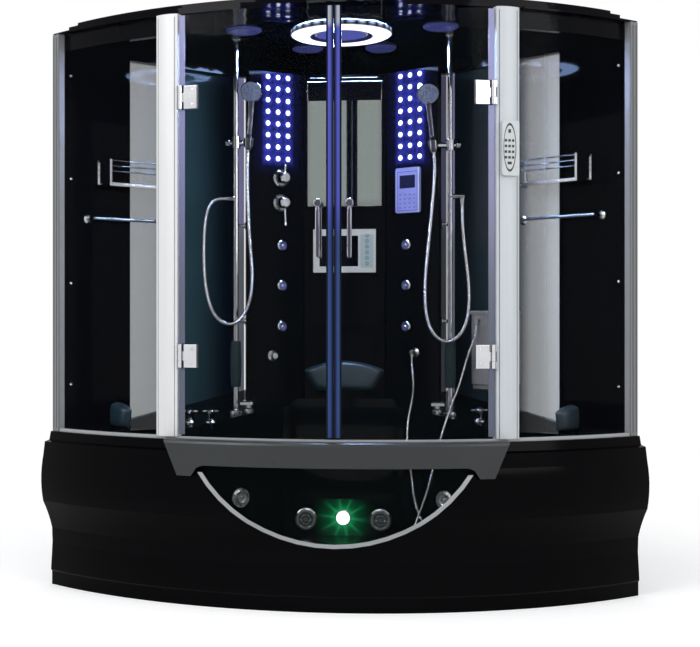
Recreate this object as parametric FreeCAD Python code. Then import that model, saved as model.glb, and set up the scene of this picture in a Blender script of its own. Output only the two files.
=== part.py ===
import FreeCAD, Part

import math
import os

from FreeCAD import Vector

os.makedirs("parts", exist_ok=True)

# A steam shower cabin for a room corner: a curved massage bath, two hinged curved doors between
# curved fixed panes, a rear control column and a domed roof. Millimetres, +Z up, +Y towards the
# room's corner. The origin is on the floor under the middle of the cabin's bounding box.

# ---- plan ----
BROW_R = 1760.0  # furthest front surface, measured from the axis of the front arcs
AXIS_TO_CORNER = 151.0  # the arcs' axis lies this far behind the room's corner
ARC_Y = (BROW_R + AXIS_TO_CORNER) / 2  # the front arcs' axis
CORNER_Y = ARC_Y - AXIS_TO_CORNER  # the room's corner
PLINTH_R = 1700.0
GLASS_R = 1691.0  # outer face of the curved panes
GLASS_T = 6.0
END_ANGLE = 41.4  # half the sweep of the front, degrees
WALL_GAP = 4.0  # back of the wall panels to the room's wall
WALL_FACE = 20.0  # inner face of the wall panels to the room's wall

# ---- heights ----
RIM_Z = 600.0
SILL_Z = 612.0
SILL_TOP = 610.0  # under the doors and posts
GLASS_TOP = 2150.0
CEILING_Z = 2190.0
ROOF_TOP = 2214.0
DOOR_BOTTOM = 617.0
DOOR_TOP = 2144.0
RAMP_FRONT_Y = -190.0  # the deck rises from here towards the corner
RAMP_BACK_Y = 330.0
RAMP_RISE = 131.5
SKIN = 8.0  # acrylic shell

# ---- bath ----
WELL_FLOOR = 145.0
REAR_SEAT_Z = 291.0
SIDE_SEAT_Z = 352.0
PAN_TOP = 588.0  # the pans are bonded to the deck here
RISER_Y = 104.0  # face under the rear seat
RISER_HALF = 250.0
CHEEK_END = (560.0, -128.0)  # where the slanted jet faces end
WINDOW_HALF = 485.0
WINDOW_LOW = 236.0
WINDOW_TOP = 515.0
WINDOW_CHORD_Z = 500.0
WINDOW_CHORDS = 18  # straight chords along the window's lower edge
WINDOW_SWEEP = 18.0  # half the pane's sweep about the front arcs' axis, degrees

# ---- doors ----
PIN_ANGLE = 19.35
PIN_R = 1701.0
PIN_SIZE = 4.0
DOOR_EDGE_ANGLE = 19.02
POST_IN_ANGLE = 19.70
POST_OUT_ANGLE = 22.76
HINGE_Z = (903.0, 1843.0)
HANDLE_X = 55.0
HANDLE_TOP = 1458.0

# ---- control column ----
PANEL_INNER = (180.0, CORNER_Y - 557.0)
PANEL_TURN = -36.87  # the right panel's turn about Z
PANEL_LENGTH = 263.0
COLUMN_FACE_Y = CORNER_Y - 542.0  # mirror plane
JET_HEIGHTS = (1350.0, 1180.0, 1008.0)
JET_U = 102.0
JET_STEM = 15.5
LEVER_U = 108.0
SPINDLE_R = 8.0
LED_COLUMNS = (73.0, 122.5, 172.0)
LED_LOW = 1716.0
LED_PITCH = 49.0

# ---- risers and hand showers ----
RISER_X = 436.0
RISER_BAR_Y = 4.5
PIPE_R = 11.0
PEG_R = 6.0
OUTLET_Z = 1534.0
HOLDERS = {"left": (52.0, 1762.0, 3.6), "right": (68.0, 1742.0, 6.0)}  # reach inward, height, lean

Z_AXIS = Vector(0, 0, 1)
AXIS_POINT = Vector(0, ARC_Y, 0)


# ---- helpers ----
def arc_point(radius, angle, z=0.0):
    a = math.radians(angle)
    return Vector(radius * math.sin(a), ARC_Y - radius * math.cos(a), z)


def polygon_face(points):
    return Part.Face(Part.makePolygon(points + [points[0]]))


def prism(plan, low, high):
    """Upright prism over a plan outline of (x, y) points."""
    return polygon_face([Vector(x, y, low) for x, y in plan]).extrude(Vector(0, 0, high - low))


def arc_sweep(section, start, end):
    """A (radius, z) outline swept round the front axis between two angles."""
    wire = Part.makePolygon([arc_point(r, start, z) for r, z in section + [section[0]]])
    return Part.Face(wire).revolve(AXIS_POINT, Z_AXIS, end - start)


def sector(r_in, r_out, start, end, low, high):
    return arc_sweep([(r_in, low), (r_out, low), (r_out, high), (r_in, high)], start, end)


def cylinder(radius, length, base=(0, 0, 0), axis=(0, 0, 1)):
    return Part.makeCylinder(radius, length, Vector(*base), Vector(*axis))


def box(low, high):
    size = [b - a for a, b in zip(low, high)]
    return Part.makeBox(size[0], size[1], size[2], Vector(*low))


def faceted(sections, sides=16):
    """Rings of flat facets joined one to the next; sections are (radius, height) pairs."""
    rings = []
    for radius, height in sections:
        ring = []
        for i in range(sides):
            a = 2 * math.pi * (i + 0.5) / sides
            ring.append(Vector(radius * math.cos(a), radius * math.sin(a), height))
        rings.append(ring)
    faces = [polygon_face(rings[0]), polygon_face(rings[-1])]
    for lower, upper in zip(rings, rings[1:]):
        for i in range(sides):
            j = (i + 1) % sides
            faces.append(polygon_face([lower[i], lower[j], upper[j], upper[i]]))
    return outward(Part.makeSolid(Part.makeShell(faces)))


def rod(start, end, radius, sides=8):
    length = Vector(*end) - Vector(*start)
    return aimed(faceted([(radius, 0), (radius, length.Length)], sides), start, tuple(length))


def aimed(shape, point, direction):
    """Carries a shape built along +Z so that its axis points along direction from point."""
    moved = shape.copy()
    moved.Placement = FreeCAD.Placement(Vector(*point), FreeCAD.Rotation(Z_AXIS, Vector(*direction)))
    return moved


def mirrored(shape):
    return shape.mirror(Vector(0, 0, 0), Vector(1, 0, 0))


def both(shape):
    return [shape, mirrored(shape)]


def outward(solid):
    if solid.Volume < 0:
        solid.reverse()
    return solid


def fuse(shapes):
    return shapes[0].multiFuse(shapes[1:]).removeSplitter() if len(shapes) > 1 else shapes[0]


def on_right_panel(shape):
    """Local x runs along the column's right panel, local -y is its outward normal."""
    moved = shape.copy()
    moved.Placement = FreeCAD.Placement(
        Vector(PANEL_INNER[0], PANEL_INNER[1], 0), FreeCAD.Rotation(Z_AXIS, PANEL_TURN)
    )
    return moved


def panel_axis(side):
    """Outward normal of the column's panel on one side."""
    a = math.radians(PANEL_TURN)
    return (side * math.sin(a), -math.cos(a), 0)


def panel_point(side, along, z, proud=0.0):
    point = on_right_panel(Part.Vertex(Vector(along, -proud, z))).Vertexes[0].Point
    return (side * point.x, point.y, point.z)


def on_left_wall(shape):
    """Local x runs along the left wall from the corner, local y is the distance from that wall."""
    moved = shape.copy()
    moved.Placement = FreeCAD.Placement(Vector(0, CORNER_Y, 0), FreeCAD.Rotation(Z_AXIS, 225))
    return moved


def wall_piece(along_low, along_high, near, far, low, high):
    return on_left_wall(box((along_low, near, low), (along_high, far, high)))


def deck_height(y):
    rise = (y - RAMP_FRONT_Y) / (RAMP_BACK_Y - RAMP_FRONT_Y) * RAMP_RISE
    return RIM_Z + min(max(rise, 0.0), RAMP_RISE)


def under_deck(drop, half_width=1300.0, low=60.0):
    """Everything below the deck surface, lowered by drop."""
    front, back = -950.0, CORNER_Y + 150.0
    outline = [(front, low), (front, RIM_Z), (RAMP_FRONT_Y, RIM_Z), (RAMP_BACK_Y, RIM_Z + RAMP_RISE)]
    outline += [(back, RIM_Z + RAMP_RISE), (back, low)]
    points = [Vector(-half_width, y, z - drop) for y, z in outline]
    return polygon_face(points).extrude(Vector(2 * half_width, 0, 0))


def plan_region(radius, inset, low, high):
    """The corner's plan, held off the room's walls by inset, cut by the front arc."""
    apex = CORNER_Y - inset * math.sqrt(2)
    reach = 1400.0
    corner = prism([(0, apex), (-reach, apex - reach), (reach, apex - reach)], low, high)
    disc = Part.makeCylinder(radius, high - low, Vector(0, ARC_Y, low))
    return corner.common(disc)


def save(name, shapes):
    shapes = shapes if isinstance(shapes, list) else [shapes]
    solids = [s for shape in shapes for s in shape.Solids]
    shape = solids[0] if len(solids) == 1 else Part.makeCompound(solids)
    shape.exportStep("parts/" + name + ".step")
    print("%-20s solids %3d  valid %s  volume %9.1f cm3"
          % (name, len(solids), shape.isValid(), shape.Volume / 1000))
    return shape


# ---- apron and its window ----
def apron_outline(offset):
    """Closed wire of the apron's skin, its outer face moved by offset; the skin is about SKIN thick."""
    foot = [(-1, 0), (-1, 52), (4, 58), (-3, 165), (-1, 222)]
    belly = [(-1, 222), (16, 275), (41, 330), (50, 420), (40, 510)]
    brim = [(40, 510), (33, 561), (12, 567), (5, RIM_Z)]
    back = [(-9, 0), (-9, 222), (8, 275), (32, 330), (42, 420), (32, 510), (25, 553), (2, 559), (-4.5, RIM_Z)]

    def point(spot):
        return arc_point(PLINTH_R + spot[0] + offset, -END_ANGLE, spot[1])

    def lines(spots):
        return [Part.LineSegment(point(a), point(b)) for a, b in zip(spots, spots[1:])]

    outer = lines(foot)
    for start in (0, 2):
        outer.append(Part.Arc(*[point(spot) for spot in belly[start:start + 3]]))
    outer += lines(brim) + lines([brim[-1], back[-1]]) + lines(back[::-1]) + lines([back[0], foot[0]])
    return Part.Wire([edge.toShape() for edge in outer])


def apron_skin(offset=0.0):
    face = Part.Face(apron_outline(offset))
    return face.revolve(AXIS_POINT, Z_AXIS, 2 * END_ANGLE)


def half_moon(grow, low_y=-900.0, high_y=-560.0):
    """The window's outline as a block through the bath's front: an arc of short chords under a flat top."""
    half, rise = WINDOW_HALF, WINDOW_CHORD_Z - WINDOW_LOW
    radius = (half * half + rise * rise) / (2 * rise)
    reach = math.asin(half / radius)
    outline = [Vector(half + grow, low_y, WINDOW_TOP + grow), Vector(-half - grow, low_y, WINDOW_TOP + grow)]
    for i in range(WINDOW_CHORDS + 1):
        a = -reach + 2 * reach * i / WINDOW_CHORDS
        x, drop = (radius + grow) * math.sin(a), (radius + grow) * math.cos(a)
        outline.append(Vector(x, low_y, WINDOW_LOW + radius - drop))
    return polygon_face(outline).extrude(Vector(0, high_y - low_y, 0))


def make_apron():
    return apron_skin().cut(half_moon(0.0))


def make_window_glass():
    """Clear pane set 6 behind the apron's face, following its belly in four flat bands."""
    front = [(-7, 222), (10, 275), (35, 330), (43, 375), (44, 420), (34, 510), (26, 520)]
    section = front + [(r - SKIN, z) for r, z in reversed(front)]
    pane = arc_sweep([(PLINTH_R + r, z) for r, z in section], -WINDOW_SWEEP, WINDOW_SWEEP)
    return pane.common(half_moon(-0.5))


def make_window_trim():
    ring = half_moon(9.0).cut(half_moon(-6.0)).cut(box((-700, -950, 490), (700, -500, 560)))
    return apron_skin(5.0).common(ring).cut(apron_skin(0.2))


def make_brow():
    """Arched threshold in front of the doors, its two feet beside the window."""
    section = [(1751.5, 470), (BROW_R, 470), (BROW_R, 592), (1757, 600), (1750, 604)]
    section += [(1699, 604), (1699, RIM_Z), (1742, RIM_Z), (1745, 580), (1751.5, 575)]
    band = arc_sweep(section, -23, 23)
    front = [(-622, 610), (-565, 476), (-512, 476), (-492, WINDOW_TOP - 9), (-470, WINDOW_TOP)]
    front += [(-x, z) for x, z in reversed(front)]
    mask = polygon_face([Vector(x, -950, z) for x, z in front]).extrude(Vector(0, 400, 0))
    return band.common(mask)


# ---- bath shell ----
def foot_well(grow, low, high):
    half = RISER_HALF + grow
    plan = [(-half, RISER_Y + grow), (half, RISER_Y + grow)]
    plan += [(CHEEK_END[0] + grow, CHEEK_END[1] + grow / 2), (600 + grow, -640), (600 + grow, -900)]
    plan += [(-x, y) for x, y in reversed(plan[2:])]
    return prism(plan, low, high)


def rear_seat(grow, low, high):
    plan = [(-232 - grow, RISER_Y - 30), (232 + grow, RISER_Y - 30), (205 + grow, 215 + grow)]
    plan += [(-205 - grow, 215 + grow)]
    return prism(plan, low, high)


def side_seats(grow, low, high):
    plan = [(540, -150 + grow), (760 + grow, -215 + grow), (880 + grow, -330), (905 + grow, -430)]
    plan += [(905 + grow, -900), (540, -900)]
    return both(prism(plan, low, high))


def front_limit(offset, low, high):
    """Solid disc inside the apron's inner face moved by offset."""
    radius = PLINTH_R - SKIN + offset
    section = [(0, low), (radius - 3, low), (radius - 3, 222), (radius + 24, 300), (radius + 40, 340)]
    section += [(radius + 36, 518), (radius - 20, 545), (radius - 20, high), (0, high)]
    points = [Vector(0, ARC_Y - r, z) for r, z in section]
    return polygon_face(points).revolve(AXIS_POINT, Z_AXIS, 360)


def make_tub_shell():
    region = plan_region(PLINTH_R - 5, 0, 60, 800)
    deck = under_deck(0).common(region)
    skin = deck.cut(under_deck(SKIN + 2))
    flange = sector(PLINTH_R - 13, PLINTH_R - 5, -END_ANGLE + 0.4, END_ANGLE - 0.4, 568, RIM_Z - 1)

    outer = fuse([foot_well(SKIN, WELL_FLOOR - SKIN, 790), rear_seat(SKIN, REAR_SEAT_Z - SKIN, 790)]
                 + side_seats(SKIN, SIDE_SEAT_Z - SKIN, 790))
    inner = fuse([foot_well(0, WELL_FLOOR, 800), rear_seat(0, REAR_SEAT_Z, 800)]
                 + side_seats(0, SIDE_SEAT_Z, 800))
    outer = outer.common(front_limit(-4, 100, 800)).common(under_deck(0))
    inner = inner.common(front_limit(-4 - SKIN, 110, 820))
    shell = fuse([skin, flange, outer]).cut(inner)
    shell = shell.cut(half_moon(-0.2, -900, -600))

    holes = [rod(DRAIN + (120,), DRAIN + (160,), 26, 14)]
    holes += [rod((x, RISER_Y - 15, 207), (x, RISER_Y + 25, 207), 22, 10) for x in (-154, 154)]
    holes.append(rod((0, RISER_Y - 15, 214), (0, RISER_Y + 25, 214), 20, 10))
    jet_hole = cylinder(BATH_JET_STEM, 60)
    holes += [aimed(jet_hole, bath_jet_point(side, 30), bath_jet_back(side)) for side in (-1, 1)]
    knob_hole = cylinder(KNOB_STEM, 60, (0, 0, -30))
    holes += [aimed(knob_hole, (x, y, deck_height(y)), deck_normal()) for x, y in DECK_KNOBS]
    return bonded_pans(shell.cut(fuse(holes)))


def bonded_pans(shell):
    """The foot well, the rear seat and the two side seats as pans bonded under the deck."""
    zones = [foot_well(SKIN, WELL_FLOOR - SKIN, PAN_TOP), rear_seat(SKIN, REAR_SEAT_Z - SKIN, PAN_TOP)]
    zones += side_seats(SKIN, SIDE_SEAT_Z - SKIN, PAN_TOP)
    pans = []
    for zone in zones:
        zone = zone.common(front_limit(-4, 100, 800))
        pans.append(shell.common(zone))
        shell = shell.cut(zone)
    return pans + [shell]


# ---- bath fittings ----
DRAIN = (0.0, -420.0)
BATH_JET = (414.0, -19.0, 308.0)
DECK_KNOBS = [(-610.0, -97.0), (-525.0, -95.0), (549.0, -60.0)]
PLUG_STEM_R = 16.0
BATH_JET_STEM = 20.0
KNOB_STEM = 12.0


def deck_normal():
    return (0.0, -RAMP_RISE, RAMP_BACK_Y - RAMP_FRONT_Y)


def bath_jet_back(side):
    return (side * 0.6, 0.8, 0)


def bath_jet_point(side, proud=0.0):
    x, y, z = BATH_JET
    return (side * (x - 0.6 * proud), y - 0.8 * proud, z)


def make_bath_fittings():
    """Two suction covers with their slots, the light's bezel and lens, and the drain body."""
    cover = faceted([(47.5, 0), (47.5, 5), (38, 12)], 14)
    for i in range(6):
        slot = box((16, -3, 4), (33, 3, 20))
        slot.rotate(Vector(0, 0, 0), Z_AXIS, 60 * i)
        cover = cover.cut(slot)
    cover = cover.fuse(faceted([(21.5, -25), (21.5, 0.5)], 10))
    pieces = [aimed(cover, (x, RISER_Y, 207), (0, -1, 0)) for x in (-154, 154)]
    light = fuse([faceted([(34.5, 0), (34.5, 4), (28, 9)], 14), faceted([(19.5, -25), (19.5, 0.5)], 10)])
    pieces.append(aimed(light, (0, RISER_Y, 214), (0, -1, 0)))
    body = faceted([(25.5, -45), (25.5, 0), (38, 0), (38, 2.5), (26, 2.5)], 14)
    body = body.cut(cylinder(PLUG_STEM_R + 0.05, 80, (0, 0, -50)))
    body.translate(Vector(DRAIN[0], DRAIN[1], WELL_FLOOR))
    pieces.append(body)
    return pieces


def make_drain_plug():
    plug = fuse([faceted([(24, 3), (24, 6), (14, 9)], 20), faceted([(PLUG_STEM_R, -30), (PLUG_STEM_R, 4)], 20)])
    plug.translate(Vector(DRAIN[0], DRAIN[1], WELL_FLOOR))
    return plug


def make_bath_jet(side):
    """Massage jet: flange with a recessed nozzle on a stem that turns in the bath's wall."""
    head = faceted([(40, 0), (40, 5), (32, 11), (20, 11), (15, 5), (9, 5), (7, 16)], 16)
    stem = faceted([(BATH_JET_STEM - 0.05, -22), (BATH_JET_STEM - 0.05, 0.5)], 20)
    return aimed(head.fuse(stem), bath_jet_point(side, 0.3), tuple(-v for v in bath_jet_back(side)))


# ---- under the bath ----
FRAME_LEGS = [(-1000, -300), (-560, -480), (0, -520), (560, -480), (1000, -300), (-330, 330), (330, 330), (0, 690)]


def make_tub_frame():
    """Welded square tube: a ring under the rim's ends, cross rails and a leg at each foot."""
    pieces = []
    for (xa, ya), (xb, yb) in zip(FRAME_LEGS[:4], FRAME_LEGS[1:5]):
        pieces.append(rail_between((xa, ya), (xb, yb), 70, 100))
    for start, end in ((0, 5), (5, 7), (7, 6), (6, 4), (2, 7)):
        pieces.append(rail_between(FRAME_LEGS[start], FRAME_LEGS[end], 70, 100))
    for x, y in FRAME_LEGS:
        pieces.append(box((x - 20, y - 20, 60), (x + 20, y + 20, 110)))
        if abs(x) > 900 or y > 300:
            pieces.append(box((x - 20, y - 20, 100), (x + 20, y + 20, deck_height(y - 20) - SKIN - 2)))
    pieces += [box((-35, y - 35, 90), (35, y + 35, WELL_FLOOR - SKIN)) for y in (-240, 30)]
    frame = fuse(pieces).cut(fuse([rod((x, y, 0), (x, y, 130), 8.7, 6) for x, y in FRAME_LEGS]))
    return frame.cut(region_outside_walls())


def region_outside_walls():
    """Space beyond the two walls, for trimming a piece that reaches into the corner."""
    return box((-1400, -900, 0), (1400, 1200, 800)).cut(plan_region(PLINTH_R + 100, 3, -10, 900))


def rail_between(start, end, low, high, half=15.0):
    dx, dy = end[0] - start[0], end[1] - start[1]
    length = math.hypot(dx, dy)
    rail = box((0, -half, low), (length, half, high))
    rail.rotate(Vector(0, 0, 0), Z_AXIS, math.degrees(math.atan2(dy, dx)))
    rail.translate(Vector(start[0], start[1], 0))
    return rail


def make_levelling_feet():
    feet = []
    for x, y in FRAME_LEGS:
        foot = faceted([(30, 0), (30, 8), (12, 16), (12, 60), (7.5, 60), (7.5, 112)], 6)
        foot.translate(Vector(x, y, 0))
        feet.append(foot)
    return feet


def make_massage_pump():
    """Pump under the left seat, with its suction and delivery pipes."""
    x, y, z = -640.0, -110.0, 190.0
    motor = rod((x - 250, y, z), (x, y, z), 68, 16)
    wet_end = rod((x - 60, y, z), (x, y, z), 85, 16)
    foot = box((x - 240, y - 60, 100), (x - 30, y + 60, z - 40))
    suction = rod((x - 30, y + 250, z), (x + 249, y + 250, z), 24, 12)
    neck = rod((x - 30, y, z), (x - 30, y + 250, z), 24, 12)
    delivery = rod((x - 30, y, z + 60), (x - 30, y, z + 210), 20, 12)
    return fuse([motor, wet_end, foot, neck, suction, delivery])


# ---- deck fittings ----
def make_deck_knob(spot):
    """Cross-head valve: base, waist and four arms, square to the sloping deck."""
    x, y = spot
    base = faceted([(24, 0.3), (22, 6), (12, 12), (12, 34), (17, 38), (17, 50), (9, 54)], 12)
    stem = faceted([(KNOB_STEM - 0.05, -28), (KNOB_STEM - 0.05, 1)], 20)
    arms = [rod((-32, 0, 43), (32, 0, 43), 5.4), rod((0, -32, 43), (0, 32, 43), 5.4)]
    return aimed(fuse([base, stem] + arms), (x, y, deck_height(y)), deck_normal())


def make_deck_spout(side):
    x, y = side * 385.0, 30.0
    base = faceted([(22, -20), (22, 12), (14, 18), (14, 46), (9, 50)], 12)
    spout = box((-26, -96, 34), (26, 4, 50))
    spout = spout.makeChamfer(5, [e for e in spout.Edges if abs(e.CenterOfMass.z - 50) < 0.1])
    piece = base.fuse(spout)
    piece.translate(Vector(x, y, deck_height(y)))
    return piece.cut(under_deck(0))


def make_water_fittings():
    """Deck spouts and, on the column, two valve escutcheons, the steam nozzle and the hose elbow."""
    pieces = [make_deck_spout(side) for side in (-1, 1)]
    for z in (1635.0, 1530.0):
        plate = faceted([(38, 0), (38, 3), (31, 9)], 14)
        plate = plate.cut(cylinder(SPINDLE_R + 0.05, 30, (0, 0, -5)))
        pieces.append(aimed(plate, panel_point(-1, LEVER_U, z), panel_axis(-1)))
    nozzle = faceted([(24, 0), (24, 4), (13, 9), (13, 26)], 10)
    pieces.append(aimed(nozzle, panel_point(-1, 150, 885), panel_axis(-1)))
    elbow = aimed(faceted([(20, 0), (20, 4), (9, 8), (9, 34)], 12), panel_point(1, 150, 900), panel_axis(1))
    tip = panel_point(1, 150, 900, 26)
    pieces.append(elbow.fuse(rod((tip[0], tip[1], 882), (tip[0], tip[1], 900), 8, 12)))
    return pieces + make_bath_fittings()


def make_lever(z, lever_length, upward):
    """Barrel handle with a round lever, turning on a spindle in its escutcheon."""
    rise = 1 if upward else -1
    barrel = fuse([faceted([(SPINDLE_R, -20), (SPINDLE_R, 1)], 20), faceted([(25, 0), (25, 30), (19, 36)], 20)])
    bar = rod((0, rise * 10, 22), (0, rise * (10 + lever_length), 30), 5.5, 10)
    knob = rod((0, rise * (7 + lever_length), 29.7), (0, rise * (15 + lever_length), 30.4), 7.5, 10)
    handle = fuse([barrel, bar, knob])
    handle.rotate(Vector(0, 0, 0), Vector(1, 0, 0), 90)
    standing = FreeCAD.Placement(Vector(*panel_point(1, LEVER_U, z, 9.3)), FreeCAD.Rotation(Z_AXIS, PANEL_TURN))
    handle.Placement = standing.multiply(handle.Placement)
    return mirrored(handle)


# ---- cabin walls and glass ----
WALL_START = 648.0
BLACK_START = 1236.0
WALL_END = 1556.0
TRIM_TOP = 2082.0


def make_side_glass():
    pane = sector(GLASS_R - GLASS_T, GLASS_R, POST_OUT_ANGLE - 0.01, 39.98, RIM_Z + 3, GLASS_TOP)
    return both(pane)


def make_wall_glass():
    pane = wall_piece(WALL_START + 33, BLACK_START, 12, WALL_FACE, RIM_Z - 20, GLASS_TOP)
    return both(pane.cut(under_deck(0)))


def make_black_panels():
    panel = wall_piece(BLACK_START, WALL_END, WALL_GAP, WALL_FACE, RIM_Z - 20, GLASS_TOP)
    return both(panel.cut(under_deck(0)))


def make_inner_posts():
    """Wide door posts: rounded front, two grooves down the face, an end cap proud of the top."""
    section = [Vector(*p) for p in ((-44, -20, 0), (44, -20, 0), (44, 10, 0))]
    middle = math.radians((POST_IN_ANGLE + POST_OUT_ANGLE) / 2)
    outline = [Part.LineSegment(section[0], section[1]), Part.LineSegment(section[1], section[2])]
    outline.append(Part.Arc(section[2], Vector(0, 19, 0), Vector(-44, 10, 0)))
    outline.append(Part.LineSegment(Vector(-44, 10, 0), section[0]))
    face = Part.Face(Part.Wire([edge.toShape() for edge in outline]))
    height = GLASS_TOP - SILL_TOP
    bar = face.extrude(Vector(0, 0, height))
    for x in (-36, 33):
        bar = bar.cut(box((x, 8, -1), (x + 3, 40, height - 12)))
    turn = FreeCAD.Rotation(Z_AXIS, 180 + math.degrees(middle))
    spot = arc_point(GLASS_R - 2, math.degrees(middle), SILL_TOP)
    bar.Placement = FreeCAD.Placement(spot, turn)
    return both(bar)


def make_outer_frame():
    """Wall posts at the cabin's two ends, the sill under the glass and the strips beside the column."""
    end = sector(GLASS_R - 22, GLASS_R + 7, 40.0, 41.3, RIM_Z, GLASS_TOP)
    for angle in (40.35, 40.95):
        end = end.cut(sector(GLASS_R + 3, GLASS_R + 9, angle, angle + 0.14, RIM_Z + 12, GLASS_TOP - 12))
    pieces = both(end)
    channel = [(GLASS_R - 20, RIM_Z), (GLASS_R + 3.5, RIM_Z), (GLASS_R + 3.5, SILL_Z)]
    channel += [(GLASS_R + 0.5, SILL_Z), (GLASS_R + 0.5, RIM_Z + 3), (GLASS_R - GLASS_T - 0.5, RIM_Z + 3)]
    channel += [(GLASS_R - GLASS_T - 0.5, SILL_Z), (GLASS_R - 12, SILL_Z), (GLASS_R - 20, RIM_Z + 5)]
    pieces += both(arc_sweep(channel, POST_OUT_ANGLE + 0.02, 39.98))
    centre = [(GLASS_R - 22, RIM_Z), (GLASS_R + 3.5, RIM_Z), (GLASS_R + 3.5, SILL_TOP)]
    centre += [(GLASS_R - 12, SILL_TOP), (GLASS_R - 22, RIM_Z + 5)]
    pieces.append(arc_sweep(centre, -POST_OUT_ANGLE + 0.02, POST_OUT_ANGLE - 0.02))
    strip = wall_piece(WALL_START, WALL_START + 33, WALL_GAP, WALL_FACE + 8, RIM_Z, TRIM_TOP)
    pieces += both(strip.cut(under_deck(0)))
    return pieces


# ---- roof ----
def make_roof_shell():
    """Domed roof with a fascia behind the glass and a lip over its top edge."""
    lip = plan_region(GLASS_R + 2, 0, GLASS_TOP, GLASS_TOP + 7)
    fascia = plan_region(GLASS_R - 24, WALL_FACE + 1, GLASS_TOP - 66, GLASS_TOP)
    room = plan_region(GLASS_R - 50, WALL_FACE + 36, GLASS_TOP - 80, GLASS_TOP + 20)
    wall = fuse([lip, fascia]).cut(room)
    tray_low = plan_region(GLASS_R - 34, WALL_FACE + 30, GLASS_TOP + 7, CEILING_Z - 10)
    dome_base = plan_region(GLASS_R - 60, 70, CEILING_Z - 10, CEILING_Z + 8)
    crown = plan_region(GLASS_R - 260, 240, CEILING_Z + 8, ROOF_TOP)
    hollow_low = plan_region(GLASS_R - 50, WALL_FACE + 36, GLASS_TOP + 1, CEILING_Z - 16)
    hollow_top = plan_region(GLASS_R - 66, 76, CEILING_Z - 17, CEILING_Z)
    roof = fuse([wall, tray_low, dome_base, crown]).cut(hollow_low).cut(hollow_top)
    shaft = rod(FAN_SPOT + (CEILING_Z - 5,), FAN_SPOT + (CEILING_Z + 55,), FAN_R + 1.5, 16)
    return roof.cut(shaft)


LAMP_SPOT = (0.0, -70.0)
SPEAKERS = [(-384.0, -160.0), (395.0, -150.0)]
FAN_SPOT = (-155.0, 235.0)
FAN_R = 52.0
FAN_PIN_R = 4.0
SPRAY_SPOT = (155.0, 235.0)


def make_ceiling_fittings():
    """Ring lamp with its dark centre disc, two speakers, the fan's grille and an overhead spray."""
    ring = faceted([(204, 0), (204, -8), (190, -16)], 28).cut(faceted([(112, 5), (124, -20)], 28))
    pieces = [at_ceiling(ring, LAMP_SPOT), at_ceiling(faceted([(108, 0), (108, -8), (96, -12)], 16), LAMP_SPOT)]
    for spot in SPEAKERS:
        pieces.append(at_ceiling(faceted([(72, 0), (72, -4), (60, -10), (52, -6)], 14), spot))
    grille = faceted([(66, 0), (66, -4), (58, -8)], 14)
    for x in (-46, 9):
        for i in range(5):
            grille = grille.cut(box((x, -40 + i * 18, -20), (x + 37, -32 + i * 18, 20)))
    grille = grille.fuse(cylinder(FAN_PIN_R, 20, (0, 0, -2)))
    spray = faceted([(66, 0), (66, -6), (52, -14)], 14)
    return pieces + [at_ceiling(grille, FAN_SPOT), at_ceiling(spray, SPRAY_SPOT)]


def at_ceiling(shape, spot):
    placed = shape.copy()
    placed.translate(Vector(spot[0], spot[1], CEILING_Z))
    return placed


def make_fan_rotor():
    """Extractor fan: hub and seven pitched blades on a pin."""
    parts = [faceted([(16, 2), (16, 18)], 14)]
    for i in range(7):
        blade = box((12, -9, -1), (FAN_R - 3, 9, 1))
        blade.rotate(Vector(0, 0, 0), Vector(1, 0, 0), 32)
        blade.translate(Vector(0, 0, 10))
        blade.rotate(Vector(0, 0, 0), Z_AXIS, i * 360 / 7)
        parts.append(blade)
    rotor = fuse(parts).cut(cylinder(FAN_PIN_R + 0.05, 40, (0, 0, -5)))
    return at_ceiling(rotor, FAN_SPOT)


# ---- column ----
def column_plan(inset):
    """Plan of the control column from its face round to the room's corner."""
    wall = WALL_GAP + inset
    meet = 436.0 - inset
    right = [(170.0, COLUMN_FACE_Y), PANEL_INNER, (390.0, PANEL_INNER[1] - 157.5), (404.0, PANEL_INNER[1] - 152.0)]
    right.append((meet, CORNER_Y - wall * math.sqrt(2) - meet - 30))
    right.append((meet, CORNER_Y - wall * math.sqrt(2) - meet))
    apex = (0.0, CORNER_Y - wall * math.sqrt(2))
    plan = right + [apex] + [(-x, y) for x, y in reversed(right)]
    return plan


def make_tower():
    high = GLASS_TOP - 70
    outer = prism(column_plan(0), RIM_Z, high)
    inner = polygon_face([Vector(x, y, RIM_Z - 5) for x, y in column_plan(0)])
    hollow = Part.Face(inner.OuterWire.makeOffset2D(-6)).extrude(Vector(0, 0, high - RIM_Z - 1))
    shell = outer.cut(hollow)
    shelf = box((-168, COLUMN_FACE_Y - 46, 1010), (168, COLUMN_FACE_Y + 3, 1032))
    back_rest = column_backrest()
    shell = fuse([shell, shelf, back_rest])
    shell = shell.cut(box((-160, COLUMN_FACE_Y - 1, 1519), (160, COLUMN_FACE_Y + 2.3, 1974)))
    shell = shell.cut(box((-128, COLUMN_FACE_Y - 1, 1243), (128, COLUMN_FACE_Y + 30, 1417)))
    bores = [bore_into_panel(side, JET_U, z, JET_STEM) for side in (-1, 1) for z in JET_HEIGHTS]
    bores += [bore_into_panel(-1, LEVER_U, z, SPINDLE_R + 1) for z in (1635.0, 1530.0)]
    return shell.cut(fuse(bores)).cut(under_deck(0))


def bore_into_panel(side, along, z, radius):
    return aimed(cylinder(radius, 30, (0, 0, -20)), panel_point(side, along, z), panel_axis(side))


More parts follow.
